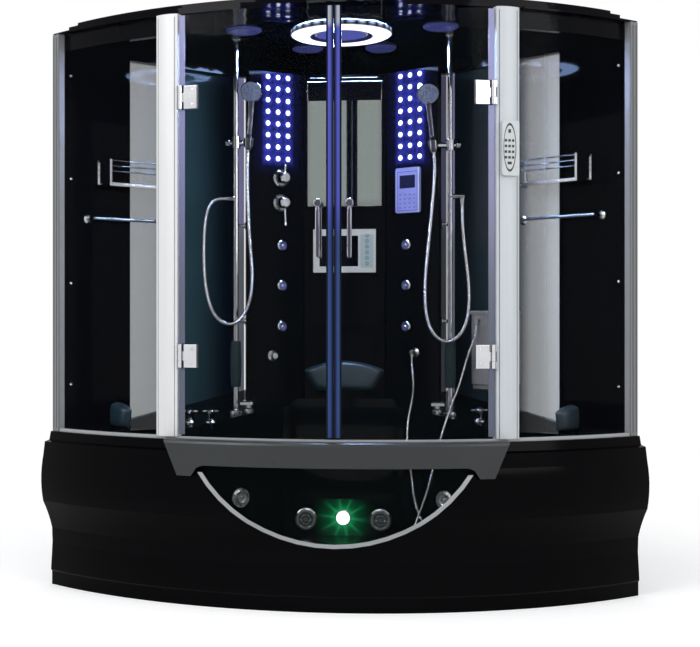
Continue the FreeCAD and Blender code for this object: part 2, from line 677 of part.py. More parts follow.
def column_backrest():
    """Bowed backrest below the screen, drawn out towards the seat at its foot."""
    def bow(z, depth, half):
        face = COLUMN_FACE_Y + 3
        spots = [i / 4 for i in range(-4, 5)]
        points = [Vector(half * t, face - depth * (1 - t * t), z) for t in spots]
        return Part.makePolygon(points + [points[0]])

    return outward(Part.makeLoft([bow(640, 40, 166), bow(900, 26, 166), bow(1010, 12, 166)], True, True))


def make_mirror():
    plate = box((-159, COLUMN_FACE_Y - 1.5, 1520), (159, COLUMN_FACE_Y + 2.3, 1973))
    return plate.makeChamfer(1.5, [e for e in plate.Edges if abs(e.CenterOfMass.y - COLUMN_FACE_Y + 1.5) < 0.1])


def make_tv_unit():
    """Screen with a raised frame and a key strip, set into the column."""
    body = box((-127, COLUMN_FACE_Y - 1, 1244), (127, COLUMN_FACE_Y + 29, 1416))
    frame = box((-133, COLUMN_FACE_Y - 9, 1238), (133, COLUMN_FACE_Y, 1422))
    screen = box((-106, COLUMN_FACE_Y - 12, 1264), (58, COLUMN_FACE_Y - 6, 1394))
    keys = [box((76, COLUMN_FACE_Y - 12, z), (116, COLUMN_FACE_Y - 8, z + 14)) for z in range(1268, 1390, 24)]
    return fuse([body, frame] + keys).cut(screen)


def make_led_lenses():
    lenses = []
    lens = faceted([(9, 0), (6.5, 4)], 6)
    for side in (-1, 1):
        for column in LED_COLUMNS:
            for row in range(8):
                z = LED_LOW + LED_PITCH * row
                lenses.append(aimed(lens, panel_point(side, column, z), panel_axis(side)))
    return lenses


def make_control_panel():
    """Touch panel: a bowed case with a display window and rows of flat keys."""
    case = box((54, -12, 1484), (177, 0, 1672))
    case = case.makeFillet(10, [e for e in case.Edges if abs(e.CenterOfMass.y + 6) < 0.2])
    case = case.cut(box((76, -20, 1586), (155, -10, 1640)))
    keys = []
    for row in range(4):
        for column in range(4):
            x, z = 72 + column * 24, 1500 + row * 18
            keys.append(box((x, -13.5, z), (x + 16, -11, z + 10)))
    return on_right_panel(fuse([case] + keys))


def make_body_jet(side, z):
    """Round jet head: bevelled ring, recessed face and nozzle on a stem in the column's skin."""
    head = faceted([(24, 0), (24, 4), (17, 9), (12, 5), (5, 5), (4, 11)], 12)
    stem = faceted([(JET_STEM - 0.05, -16), (JET_STEM - 0.05, 0.5)], 20)
    return aimed(head.fuse(stem), panel_point(side, JET_U, z, 0.3), panel_axis(side))


# ---- risers ----
def make_risers():
    """Upright pipes from deck to ceiling, each with two brackets to the column and a hose outlet."""
    foot = deck_height(RISER_BAR_Y)
    shapes = [rod((0, 0, foot - 10), (0, 0, CEILING_Z), PIPE_R, 12)]
    shapes.append(faceted([(26, foot - 10), (26, foot + 12), (14, foot + 18)], 16))
    shapes.append(rod((0, 0, CEILING_Z - 8), (0, 0, CEILING_Z), 22, 16))
    shapes.append(rod((0, 0, OUTLET_Z), (33, 0, OUTLET_Z), 11, 12))
    shapes += [riser_bracket(z) for z in (1430.0, 1030.0)]
    riser = fuse(shapes)
    side_outlet = rod((30, 0, OUTLET_Z), (44, 0, OUTLET_Z), 9, 12)
    tee = fuse([rod((30, 0, OUTLET_Z), (58, 0, OUTLET_Z), 11, 12),
                rod((49, 0, OUTLET_Z), (49, 0, OUTLET_Z - 30), 9, 12)])
    return [stand_at_riser(fuse([riser, tee])), mirrored(stand_at_riser(fuse([riser, side_outlet])))]


def stand_at_riser(shape):
    placed = shape.copy()
    placed.translate(Vector(RISER_X, RISER_BAR_Y, 0))
    return placed.cut(under_deck(0))


def riser_bracket(z):
    """Cranked rod from the riser back to a rosette on the column's side."""
    edge_from = Vector(404 - RISER_X, PANEL_INNER[1] - 152 - RISER_BAR_Y, z)
    edge_to = Vector(0, CORNER_Y - WALL_GAP * math.sqrt(2) - RISER_X - 30 - RISER_BAR_Y, z)
    along = (edge_to - edge_from).normalize()
    spot = edge_from + along * 26
    away = along.cross(Z_AXIS)
    corner = spot + away * (-spot.x / away.x)
    back = rod((0, 0, z), (corner.x, corner.y + 5, z), 7)
    rosette = faceted([(15, 0), (15, 4), (8, 8)], 12)
    front = rod(tuple(spot + away * 4), tuple(corner), 7)
    return fuse([back, front, aimed(rosette, tuple(spot), tuple(away))])


def make_foam_grips():
    """Foam sleeves that swell a little at mid height."""
    grip = faceted([(20, 760), (22, 800), (23, 855), (22, 910), (20, 950)], 12)
    grip = grip.cut(rod((0, 0, 700), (0, 0, 1000), PIPE_R + 0.4, 12))
    grip.translate(Vector(RISER_X, RISER_BAR_Y, 0))
    return both(grip)


def make_slider(name):
    """Clamp that slides on the riser, with the arm that carries the cradle and a locking knob."""
    reach, height, _ = HOLDERS[name]
    clamp = rod((0, 0, -23), (0, 0, 23), 19, 12)
    arm = rod((-reach + 22, 0, 0), (-14, 0, 0), 12, 16)
    knob = aimed(faceted([(9, 14), (9, 24), (17, 27), (17, 40), (12, 44)], 12), (0, 0, 0), (1, 0, 0))
    slider = fuse([clamp, arm, knob]).cut(rod((0, 0, -40), (0, 0, 40), PIPE_R + 0.35, 12))
    slider = slider.cut(cylinder(PEG_R + 0.05, 10, (-reach + 21, 0, 0), (1, 0, 0)))
    slider.translate(Vector(RISER_X, RISER_BAR_Y, height))
    return slider


def in_holder(shape, name, lean=True):
    """Carries a shape from the cradle's own frame to its place beside the riser."""
    reach, height, angle = HOLDERS[name]
    placed = shape.copy()
    if lean:
        placed.rotate(Vector(0, 0, 0), Vector(0, 1, 0), -angle)
    placed.translate(Vector(RISER_X - reach, RISER_BAR_Y, height))
    return placed


def make_cradle(name):
    """Split cone on a peg: it tilts in the slider's arm and holds the hand shower's tail."""
    cone = faceted([(18, -18), (20, 18)], 16).cut(faceted([(13.4, -19), (15.2, 19)], 16))
    cone = cone.cut(box((-9, -40, -30), (9, 0, 30)))
    peg = faceted([(PEG_R, 0), (PEG_R, 14)], 20)
    return in_holder(cone, name).fuse(in_holder(aimed(peg, (17, 0, 0), (1, 0, 0)), name, False))


def make_hand_shower(name):
    """Tapered handle that curves into a round spray head."""
    tail = faceted([(9, -30), (12.4, -20), (13.6, 20), (10.5, 26), (10.5, 62)], 10)
    start, middle, end = Vector(0, 0, 60), Vector(0, 5, 125), Vector(0, -4, 185)
    ring = faceted([(10.5, 60), (10.5, 61)], 10).Faces[0].OuterWire
    grip = Part.Wire([Part.Arc(start, middle, end).toShape()]).makePipeShell([ring], True, False)
    head = faceted([(43, 0), (45, 5), (40, 14), (16, 26)], 16)
    return in_holder(fuse([tail, grip, aimed(head, (0, -24, 206), (0, 0.94, 0.34))]), name)


# ---- hoses ----
LEFT_HOSE = [(-385.88, 4.5, 1732.05), (-389.58, 4.5, 1673.2), (-387, -4, 1570), (-382, -16, 1455), (-374, -27, 1340),
             (-364, -32, 1235), (-366, -33, 1149), (-384, -33, 1080), (-412, -32, 1036), (-452, -31, 1014),
             (-498, -31, 1028), (-533, -26, 1075), (-556, -18, 1150), (-566, -10, 1248), (-568, -2, 1350),
             (-564, 4, 1440), (-548, 4.6, 1508), (-518, 4.5, 1534), (-480, 4.5, 1534)]
RIGHT_HOSE = [(371.14, 4.5, 1712.15), (376.37, 4.5, 1662.4), (370, -3, 1560), (360, -15, 1450), (347, -26, 1325),
              (335, -32, 1200), (334, -33, 1100), (346, -33, 1022), (374, -32, 968), (420, -31, 942), (468, -32, 964),
              (500, -29, 1020), (512, -22, 1098), (510, -11, 1190), (496, -1, 1310), (485, 4.5, 1420),
              (485, 4.5, 1504)]
HOSE_D = 14.0
THIN_HOSE = [(284.4, 137.1, 882), (284.4, 137.1, 834), (292, 122, 774), (287, 88, 716), (272, 58, 652), (263, 34, 584),
             (265, 20, 510), (277, 10, 436), (285, 2, 366), (293, -8, 302), (312, -22, 244), (340, -40, 196),
             (368, -68, 160), (374, -108, 150.4), (346, -140, 150.6), (306, -134, 156), (286, -104, 182), (300, -86, 236),
             (326, -80, 300), (350, -76, 376), (370, -73, 460), (392, -70, 548), (416, -60, 628), (440, -26, 694),
             (466, 10, 752), (488, 32, 820), (508, 42, 890), (530, 50, 946), (542.4, 52.8, 968), (542.4, 52.8, 1016)]
THIN_D = 10.0


def cord_tube(route, diameter, sides):
    """Tube along straight runs joined by tangent arcs, as large as each pair of runs allows."""
    points = [Vector(*p) for p in route]
    edges = []
    here = points[0]
    radii = []
    for before, corner, after in zip(points, points[1:], points[2:]):
        run_in, run_out = corner - before, after - corner
        turn = run_in.getAngle(run_out)
        reach = 0.45 * min(run_in.Length, run_out.Length)
        radii.append(reach / math.tan(turn / 2))
        start = corner - run_in.normalize() * reach
        end = corner + run_out.normalize() * reach
        inward = (start + end) * 0.5 - corner
        centre_gap = radii[-1] / math.cos(turn / 2) - radii[-1]
        middle = corner + inward.normalize() * centre_gap
        edges.append(Part.LineSegment(here, start).toShape())
        edges.append(Part.Arc(start, middle, end).toShape())
        here = end
    edges.append(Part.LineSegment(here, points[-1]).toShape())
    path = Part.Wire(edges)
    ring = faceted([(diameter / 2, 0), (diameter / 2, 1)], sides).Faces[0].OuterWire
    ring = aimed(ring, tuple(points[0]), tuple(points[1] - points[0]))
    tube = path.makePipeShell([ring], True, False)
    expected = path.Length * Part.Face(ring).Area
    print("cord length %.0f mm, least radius %.0f mm, volume over section times length %.4f"
          % (path.Length, min(radii), tube.Volume / expected))
    print("   radii", [round(r) for r in radii])
    return tube


# ---- steam unit, shelves ----
def make_steam_generator():
    """Wall-hung steam unit: rounded case, lid line and drip skirt, with a hose barb in front."""
    case = box((868, WALL_FACE, 772), (1040, 130, 1058))
    case = case.makeFillet(14, [e for e in case.Edges if abs(e.BoundBox.ZLength - 286) < 1 and e.CenterOfMass.y > 60])
    lid = box((866, WALL_FACE, 1058), (1042, 132, 1073))
    lid = lid.makeChamfer(5, [e for e in lid.Edges if abs(e.CenterOfMass.z - 1073) < 0.1 and e.CenterOfMass.y > 60])
    skirt = box((876, WALL_FACE, 753), (1032, 122, 772))
    barb = fuse([rod((915, 120, 1040), (915, 155, 1040), 8, 12), rod((915, 148, 1040), (915, 148, 1016), 7.5, 12)])
    return mirrored(on_left_wall(fuse([case, lid, skirt, barb])))


SHELF_SPAN = (1070.0, 1390.0)
BAR_SPAN = (1060.0, 1440.0)


def make_shelves():
    """On each side wall a glass shelf behind a three-rail gallery, and a towel bar below it."""
    near, far = WALL_FACE, 112.0
    start, end = SHELF_SPAN
    shelf = box((start + 5, near, 1574), (end - 5, far - 6, 1580))
    gallery = [rod((start, far, z), (end, far, z), 3.2, 6) for z in (1624.0, 1645.0, 1666.0)]
    for x in (start, end):
        gallery.append(box((x - 5, near, 1566), (x + 5, far + 5, 1574)))
        gallery.append(box((x - 5, near, 1566), (x + 5, near + 8, 1671)))
        gallery.append(box((x - 5, far - 5, 1566), (x + 5, far + 5, 1671)))
        gallery.append(box((x - 4, near, 1663), (x + 4, far, 1669)))
    gallery.append(box((start, far - 4, 1566), (end, far + 4, 1574)))
    bar = [rod((BAR_SPAN[0] - 12, 84, 1436), (BAR_SPAN[1] + 12, 84, 1436), 6.5, 10)]
    for x in BAR_SPAN:
        bar.append(rod((x, near + 1, 1436), (x, 84, 1436), 6, 10))
        bar.append(aimed(faceted([(18, 0), (18, 5), (10, 9)], 12), (x, near, 1436), (0, 1, 0)))
    pieces = [on_left_wall(piece) for piece in (shelf, fuse(gallery), fuse(bar))]
    return pieces + [mirrored(piece) for piece in pieces]


# ---- pillows ----
def cushion(width, height, depth, crown):
    """Head pillow lying against local +y: straight foot, crowned top, drawn-in edges."""
    def section(shrink, y):
        w, top, shoulder = width / 2 - shrink, height - shrink, height - crown - shrink
        foot = shrink
        points = [Vector(-w, y, foot), Vector(w, y, foot), Vector(w, y, shoulder)]
        edges = [Part.LineSegment(points[0], points[1]), Part.LineSegment(points[1], points[2])]
        edges.append(Part.Arc(points[2], Vector(0, y, top), Vector(-w, y, shoulder)))
        edges.append(Part.LineSegment(Vector(-w, y, shoulder), points[0]))
        return Part.Wire([e.toShape() for e in edges])
    stack = [section(12, 0), section(2, -depth * 0.3), section(4, -depth * 0.62), section(26, -depth)]
    return outward(Part.makeLoft(stack, True, True))


PILLOW_W = 1290.0


def make_pillows():
    centre = cushion(356, 132, 48, 42)
    centre.rotate(Vector(0, 0, 0), Vector(1, 0, 0), -3)
    centre.translate(Vector(0, COLUMN_FACE_Y - 32.3, 733))
    side = cushion(200, 112, 46, 30)
    side.rotate(Vector(0, 0, 0), Z_AXIS, -45)
    x = (PILLOW_W - WALL_FACE - 0.5) / math.sqrt(2)
    y = CORNER_Y - (PILLOW_W + WALL_FACE + 0.5) / math.sqrt(2)
    side.translate(Vector(x, y, RIM_Z - 6))
    side = side.cut(under_deck(-0.5))
    return [centre, side, mirrored(side)]


# ---- doors ----
def make_door_glass():
    pane = sector(GLASS_R - GLASS_T, GLASS_R, 0.62, DOOR_EDGE_ANGLE, DOOR_BOTTOM, DOOR_TOP)
    return pane.cut(door_hole(6.7))


def door_hole(radius):
    start = arc_point(GLASS_R - 60, handle_angle(), HANDLE_TOP)
    outward_run = arc_point(GLASS_R, handle_angle()) - arc_point(GLASS_R - 1, handle_angle())
    return cylinder(radius, 120, tuple(start), tuple(outward_run))


def handle_angle():
    return math.degrees(math.asin(HANDLE_X / GLASS_R))


def make_door_seal():
    """Magnetic strip with a channel that grips the pane's edge."""
    strip = sector(GLASS_R - GLASS_T - 4.5, GLASS_R + 4.5, 0.02, 0.92, DOOR_BOTTOM, DOOR_TOP)
    channel = sector(GLASS_R - GLASS_T - 0.2, GLASS_R + 0.2, 0.61, 1.0, DOOR_BOTTOM - 1, DOOR_TOP + 1)
    return strip.cut(channel)


def make_door_handle():
    """Bars on both faces of the pane, hung from a rosette bolted through it."""
    def radial(radius, r_start, r_end, z, sides):
        return rod(tuple(arc_point(r_start, handle_angle(), z)), tuple(arc_point(r_end, handle_angle(), z)), radius, sides)
    back = GLASS_R - GLASS_T
    shapes = [radial(6, back - 40, GLASS_R + 40, HANDLE_TOP, 12)]
    shapes += [radial(22, GLASS_R + 0.3, GLASS_R + 10, HANDLE_TOP, 20), radial(22, back - 10, back - 0.3, HANDLE_TOP, 20)]
    for r, foot_in, foot_out in ((GLASS_R + 38, GLASS_R + 0.3, GLASS_R + 38), (back - 38, back - 38, back - 0.3)):
        x, y, _ = arc_point(r, handle_angle())
        shapes.append(rod((x, y, 1252), (x, y, HANDLE_TOP + 12), 9, 12))
        shapes.append(radial(6, foot_in, foot_out, 1272, 12))
    return fuse(shapes)


def hinge_block(z):
    """Clamp plates on the pane's two faces and the moving knuckle round the pin."""
    outer = sector(GLASS_R + 0.4, GLASS_R + 6.5, 17.15, 18.9, z - 42, z + 42)
    inner = sector(GLASS_R - GLASS_T - 6, GLASS_R - GLASS_T - 0.4, 17.15, 18.9, z - 42, z + 42)
    x, y, _ = arc_point(PIN_R, PIN_ANGLE)
    web = sector(GLASS_R + 0.4, GLASS_R + 6.5, 18.8, PIN_ANGLE - 0.1, z - 17, z + 17)
    moving = fuse([outer, web, rod((x, y, z - 17), (x, y, z + 17), 9, 12)])
    return [moving.cut(cylinder(PIN_SIZE + 0.05, 60, (x, y, z - 30))), inner]


def make_door_hinges():
    return [piece for z in HINGE_Z for piece in hinge_block(z)]


def make_hinge_posts():
    """Fixed knuckles carried by the door posts, with the hinge pins pressed in."""
    x, y, _ = arc_point(PIN_R, PIN_ANGLE)
    pieces = []
    for z in HINGE_Z:
        shapes = [rod((x, y, z - 42), (x, y, z + 42), PIN_SIZE, 12)]
        for low in (z - 42.3, z + 17.3):
            shapes.append(rod((x, y, low), (x, y, low + 25), 9, 12))
            shapes.append(sector(PIN_R - 8, PIN_R + 5, PIN_ANGLE + 0.15, POST_IN_ANGLE + 0.035, low, low + 25))
        pieces.append(fuse(shapes))
    return pieces + [mirrored(piece) for piece in pieces]


def make_remote():
    """Keypad handset: rounded slab with an oval field of keys."""
    body = box((-33, 0.3, 1546), (33, 15, 1741))
    body = body.makeFillet(8, [e for e in body.Edges if abs(e.BoundBox.YLength - 14.7) < 0.1])
    turns = [2 * math.pi * i / 20 for i in range(20)]
    oval = polygon_face([Vector(4 + 24 * math.sin(a), 14.4, 1646 + 84 * math.cos(a)) for a in turns])
    body = body.cut(oval.extrude(Vector(0, 3, 0)))
    keys = []
    for row in range(4):
        for column in range(3):
            x, z = -13 + column * 14, 1606 + row * 20
            keys.append(box((x, 14, z), (x + 9, 16, z + 9)))
    keys.append(box((0, 14, 1698), (9, 16, 1710)))
    keys.append(box((-3, 14, 1586), (12, 16, 1595)))
    remote = fuse([body] + keys)
    middle = (POST_IN_ANGLE + POST_OUT_ANGLE) / 2
    remote.Placement = FreeCAD.Placement(arc_point(GLASS_R + 17, middle), FreeCAD.Rotation(Z_AXIS, 180 + middle))
    return remote


NODES = {
    "tub_shell": make_tub_shell,
    "apron": make_apron,
    "threshold_brow": make_brow,
    "window_glass": make_window_glass,
    "window_trim": make_window_trim,
    "tub_frame": make_tub_frame,
    "levelling_feet": make_levelling_feet,
    "massage_pump": make_massage_pump,
    "water_fittings": make_water_fittings,
    "drain_plug": make_drain_plug,
    "bath_jet_left": lambda: make_bath_jet(-1),
    "bath_jet_right": lambda: make_bath_jet(1),
    "diverter_knob": lambda: make_lever(1635.0, 38.0, True),
    "mixer_lever": lambda: make_lever(1530.0, 84.0, False),
    "side_glass": make_side_glass,
    "wall_glass": make_wall_glass,
    "black_panels": make_black_panels,
    "inner_posts": make_inner_posts,
    "outer_frame": make_outer_frame,
    "roof_shell": make_roof_shell,
    "ceiling_fittings": make_ceiling_fittings,
    "fan_rotor": make_fan_rotor,
    "tower": make_tower,
    "mirror": make_mirror,
    "tv_unit": make_tv_unit,
    "led_lenses": make_led_lenses,
    "control_panel": make_control_panel,
    "risers": make_risers,
    "foam_grips": make_foam_grips,
    "slider_left": lambda: mirrored(make_slider("left")),
    "slider_right": lambda: make_slider("right"),
    "cradle_left": lambda: mirrored(make_cradle("left")),
    "cradle_right": lambda: make_cradle("right"),
    "hand_shower_left": lambda: mirrored(make_hand_shower("left")),
    "hand_shower_right": lambda: make_hand_shower("right"),
    "hose_left": lambda: cord_tube(LEFT_HOSE, HOSE_D, 6),
    "hose_right": lambda: cord_tube(RIGHT_HOSE, HOSE_D, 6),
    "thin_hose": lambda: cord_tube(THIN_HOSE, THIN_D, 6),
    "steam_generator": make_steam_generator,
    "shelves": make_shelves,
    "pillows": make_pillows,
    "door_glass_left": lambda: mirrored(make_door_glass()),
    "door_glass_right": make_door_glass,
    "door_seal_left": lambda: mirrored(make_door_seal()),
    "door_seal_right": make_door_seal,
    "door_handle_left": lambda: mirrored(make_door_handle()),
    "door_handle_right": make_door_handle,
    "door_hinges_left": lambda: [mirrored(p) for p in make_door_hinges()],
    "door_hinges_right": make_door_hinges,
    "hinge_posts": make_hinge_posts,
    "remote": make_remote,
}
for number, spot in enumerate(DECK_KNOBS, 1):
    NODES["deck_knob_%d" % number] = lambda spot=spot: make_deck_knob(spot)
for side_name, side in (("left", -1), ("right", 1)):
    for place, height in zip(("top", "middle", "low"), JET_HEIGHTS):
        NODES["body_jet_%s_%s" % (side_name, place)] = lambda side=side, height=height: make_body_jet(side, height)

for name, make in NODES.items():
    save(name, make())
print("nodes", len(NODES))
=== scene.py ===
import math
from contextlib import contextmanager

import bmesh
import bpy
from mathutils import Matrix, Vector


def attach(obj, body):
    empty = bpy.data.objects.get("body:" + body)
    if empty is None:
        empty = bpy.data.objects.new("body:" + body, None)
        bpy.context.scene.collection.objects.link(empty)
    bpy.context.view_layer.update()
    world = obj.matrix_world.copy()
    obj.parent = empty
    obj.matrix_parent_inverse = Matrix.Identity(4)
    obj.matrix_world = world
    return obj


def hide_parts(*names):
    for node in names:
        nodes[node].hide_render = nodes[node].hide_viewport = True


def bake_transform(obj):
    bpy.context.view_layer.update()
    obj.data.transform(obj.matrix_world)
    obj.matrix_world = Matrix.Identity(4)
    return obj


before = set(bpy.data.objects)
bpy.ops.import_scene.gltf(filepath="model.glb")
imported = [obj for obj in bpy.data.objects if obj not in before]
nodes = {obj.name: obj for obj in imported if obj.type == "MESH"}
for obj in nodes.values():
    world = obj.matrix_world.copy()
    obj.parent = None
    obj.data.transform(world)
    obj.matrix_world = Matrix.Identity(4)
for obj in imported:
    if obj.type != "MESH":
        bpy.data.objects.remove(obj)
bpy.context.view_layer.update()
scene = bpy.context.scene
scene.view_settings.view_transform = "Standard"

# ---- places that the CAD names, in metres ----
ARC_Y = 0.9555  # axis of the front arcs
CORNER_Y = 0.8045
GLASS_R = 1.691
PANE_LOW, PANE_HIGH = 0.618, 2.142
SEAM_Y = ARC_Y - GLASS_R + 0.003  # middle of the panes' thickness where the doors meet
HINGES = (0.903, 1.843)
HANDLE_ANGLE, HANDLE_LOW, HANDLE_HIGH, HANDLE_KNOB = 1.85, 1.255, 1.432, 1.445
HANDLE_REACH = 0.038
WALL_FACE = 0.0200  # inner face of the side walls, in from the room's walls
MIRROR_HALF, MIRROR_TOP, HEADER_TOP = 0.159, 1.973, 2.050
PANEL_X, PANEL_Y = 0.180, 0.2475  # inner end of the column's slanted panels
PANEL_COS, PANEL_SIN = 0.8, 0.6
COLUMN_FACE_Y = 0.2625
JET_U = 0.102
JET_ROWS = {"top": 1.350, "middle": 1.180, "low": 1.008}
LED_COLUMNS = (0.073, 0.1225, 0.172)
LED_LOW, LED_PITCH, LED_ROWS = 1.716, 0.049, 8
LAMP_X, LAMP_Y = 0.0, -0.070
RISER_X, RISER_Y = 0.436, 0.0045
HOLDERS = {"left": (0.052, 1.762, 3.6), "right": (0.068, 1.742, 6.0)}
WELL_LIGHT = (0.0, 0.104, 0.214)
WELL_SKIN = (WELL_LIGHT[1] + 0.004, WELL_LIGHT[1] + 0.006)  # green light stops inside the well's wall
SUCTION_X, SUCTION_Z = 0.154, 0.207
HANDSET_ANGLE = 21.23  # middle of the door post, in degrees about the front arcs' axis
HANDSET_R = GLASS_R + 0.017
HANDSET_FIELD = (0.004, 1.646, 0.024, 0.084)  # oval's middle and half sizes
SIDES = {"left": -1, "right": 1}
BOTH = tuple(SIDES)


def add(name, data):
    """A new object in the scene."""
    made = bpy.data.objects.new(name, data)
    scene.collection.objects.link(made)
    return made


# ---- camera ----
def make_camera():
    data = bpy.data.cameras.new("camera")
    data.lens, data.sensor_width = 69.38, 36.0
    data.shift_x, data.shift_y = 0.1316, -0.0019
    data.clip_end = 60.0
    camera = add("camera", data)
    camera.location = (0.218, -5.5015, 1.026)
    camera.rotation_euler = (math.radians(90), 0, math.radians(5.84))
    scene.camera = camera


make_camera()


# ---- finishes ----
class Finish:
    """A Principled material, with helpers that draw patterns by place in the row frame."""

    def __init__(self, name, color, rough, metal=0.0, specular=0.5):
        self.material = bpy.data.materials.new(name)
        self.material.use_nodes = True
        self.tree = self.material.node_tree
        self.shader = self.tree.nodes["Principled BSDF"]
        self.shader.inputs["Base Color"].default_value = (*color, 1.0)
        self.shader.inputs["Roughness"].default_value = rough
        self.shader.inputs["Metallic"].default_value = metal
        self.shader.inputs["Specular IOR Level"].default_value = specular
        self.place = self.node("TexCoord").outputs["Object"]
        parts = self.node("SeparateXYZ", self.place)
        self.x, self.y, self.z = parts.outputs
        self.abs_x = self.calc("ABSOLUTE", self.x)
        self.color, self.rough = color, rough

    def node(self, kind, *inputs):
        made = self.tree.nodes.new("ShaderNode" + kind)
        for socket, value in zip(made.inputs, inputs):
            self.put(socket, value)
        return made

    def put(self, socket, value):
        if isinstance(value, bpy.types.NodeSocket):
            self.tree.links.new(value, socket)
        elif value is not None:
            socket.default_value = value

    def calc(self, operation, *inputs):
        made = self.node("Math", *inputs)
        made.operation = operation
        return made.outputs[0]

    def fold(self, operation, values):
        total = values[0]
        for value in values[1:]:
            total = self.calc(operation, total, value)
        return total

    def times(self, *values):
        return self.fold("MULTIPLY", values)

    def plus(self, *values):
        return self.fold("ADD", values)

    def minus(self, value, less):
        return self.calc("SUBTRACT", value, less)

    def length(self, first, second):
        """Length of a step of two parts at right angles."""
        return self.calc("SQRT", self.plus(self.times(first, first), self.times(second, second)))

    def cell(self, value, middle, half):
        """Signed distance from the nearest of a row of marks, which stand two halves apart."""
        return self.calc("WRAP", self.minus(value, middle), half, -half)

    def ramp(self, value, low, high, to_low=0.0, to_high=1.0):
        """Smooth step of value from low to high."""
        made = self.node("MapRange", value, low, high, to_low, to_high)
        made.interpolation_type = "SMOOTHSTEP"
        return made.outputs[0]

    def below(self, value, low, high):
        """1 under low, 0 over high."""
        return self.ramp(value, low, high, 1.0, 0.0)

    def band(self, value, low, high, soft=0.001):
        """1 between low and high, 0 outside."""
        over = self.ramp(value, low - soft, low + soft)
        return self.times(over, self.below(value, high - soft, high + soft))

    def box(self, across, upward, wide, tall):
        """1 inside a rectangle, given as the ranges of two distances."""
        return self.times(self.band(across, *wide), self.band(upward, *tall))

    def mix(self, factor, first, second):
        made = self.node("Mix")
        made.data_type = "RGBA"
        self.put(made.inputs[0], factor)
        for socket, value in ((made.inputs[6], first), (made.inputs[7], second)):
            self.put(socket, (*value, 1.0) if isinstance(value, tuple) else value)
        return made.outputs[2]

    def noise(self, scale, detail=3.0, stretch=(1, 1, 1)):
        mapping = self.node("Mapping", self.place)
        mapping.inputs["Scale"].default_value = stretch
        made = self.node("TexNoise", mapping.outputs[0])
        made.inputs["Scale"].default_value = scale
        made.inputs["Detail"].default_value = detail
        return made.outputs["Fac"]

    def distance(self, x, y, z):
        """Distance from a point of the row frame."""
        made = self.node("VectorMath", self.place, (x, y, z))
        made.operation = "DISTANCE"
        return made.outputs["Value"]

    def panel_u(self):
        """Distance along the column's slanted panel, the same on both sides."""
        along_x = self.times(self.minus(self.abs_x, PANEL_X), PANEL_COS)
        along_y = self.times(self.minus(self.y, PANEL_Y), PANEL_SIN)
        return self.minus(along_x, along_y)

    def panel_depth(self):
        """Depth behind the column's slanted panel, the same on both sides."""
        along_x = self.times(self.minus(self.abs_x, PANEL_X), PANEL_SIN)
        along_y = self.times(self.minus(self.y, PANEL_Y), PANEL_COS)
        return self.plus(along_x, along_y)

    def wall_w(self):
        """Distance along a side wall from the corner, the same on both sides."""
        return self.times(self.plus(self.minus(self.abs_x, self.y), CORNER_Y), math.sqrt(0.5))

    def feed(self, socket, value):
        self.put(self.shader.inputs[socket], value)

    def paint(self, color):
        self.feed("Base Color", color)

    def glow(self, color, strength):
        self.feed("Emission Color", (*color, 1.0) if isinstance(color, tuple) else color)
        self.feed("Emission Strength", strength)

    def worn(self, spread=0.06, scale=9.0, bump=0.0, bump_scale=300.0, tone=0.0, rounded=0.0,
             stretch=(1, 1, 1)):
        """Uneven polish, a little tone, fine surface relief and softened edges."""
        smear = self.noise(scale, 4.0, stretch)
        smoothest = max(self.rough - spread, 0.015)
        self.feed("Roughness", self.ramp(smear, 0.25, 0.75, smoothest, self.rough + spread))
        if tone:
            dark = tuple(c * (1 - tone) for c in self.color)
            light = tuple(min(c * (1 + tone), 1.0) for c in self.color)
            self.paint(self.mix(self.noise(scale * 0.6), dark, light))
        normal = None
        if rounded:
            edges = self.node("Bevel", rounded)
            edges.samples = 4
            normal = edges.outputs[0]
        if bump:
            relief = self.node("Bump")
            relief.inputs["Strength"].default_value = 1.0
            relief.inputs["Distance"].default_value = bump
            self.put(relief.inputs["Height"], self.noise(bump_scale, 2.0, stretch))
            if normal:
                self.put(relief.inputs["Normal"], normal)
            normal = relief.outputs[0]
        if normal:
            self.feed("Normal", normal)
        return self


def black_gloss(name, color=(0.0015, 0.0015, 0.003), rough=0.06, specular=0.05):
    return Finish(name, color, rough, specular=specular)


def chrome(name, color=(0.62, 0.63, 0.66), rough=0.1, rounded=0.003, shade=0.09, dark=(0.30, 0.72)):
    """Polished plating: bright, with a painted dark reflection line over one range of turning away."""
    finish = Finish(name, color, rough, metal=1.0).worn(0.04, 40.0, rounded=rounded)
    turn = finish.node("LayerWeight")
    for link in finish.shader.inputs["Normal"].links:
        finish.put(turn.inputs["Normal"], link.from_socket)
    # Painted reflection: the base colour is darkened over this range of turning away, as if dark surroundings
    # were mirrored there.
    away = finish.band(turn.outputs["Facing"], *dark, 0.07)
    light = finish.mix(finish.noise(24.0), tuple(c * 0.94 for c in color), tuple(c * 1.06 for c in color))
    finish.paint(finish.mix(away, light, (color[0] * shade, color[1] * shade, color[2] * shade * 1.3)))
    return finish


def satin_silver():
    """Anodised bar: long faint draw lines up its length, cooler and darker on the right."""
    finish = Finish("satin_silver", (0.60, 0.61, 0.62), 0.46, metal=0.15, specular=0.15)
    finish.worn(0.06, 60.0, 0.00004, 900.0, 0.0, 0.0015, stretch=(1, 1, 0.02))
    streak = finish.noise(60.0, 3.0, (1, 1, 0.02))
    warm = finish.mix(streak, (0.64, 0.645, 0.65), (0.72, 0.725, 0.73))
    cool = finish.mix(streak, (0.50, 0.53, 0.55), (0.56, 0.59, 0.61))
    finish.paint(finish.mix(finish.ramp(finish.x, -0.05, 0.05), warm, cool))
    return finish


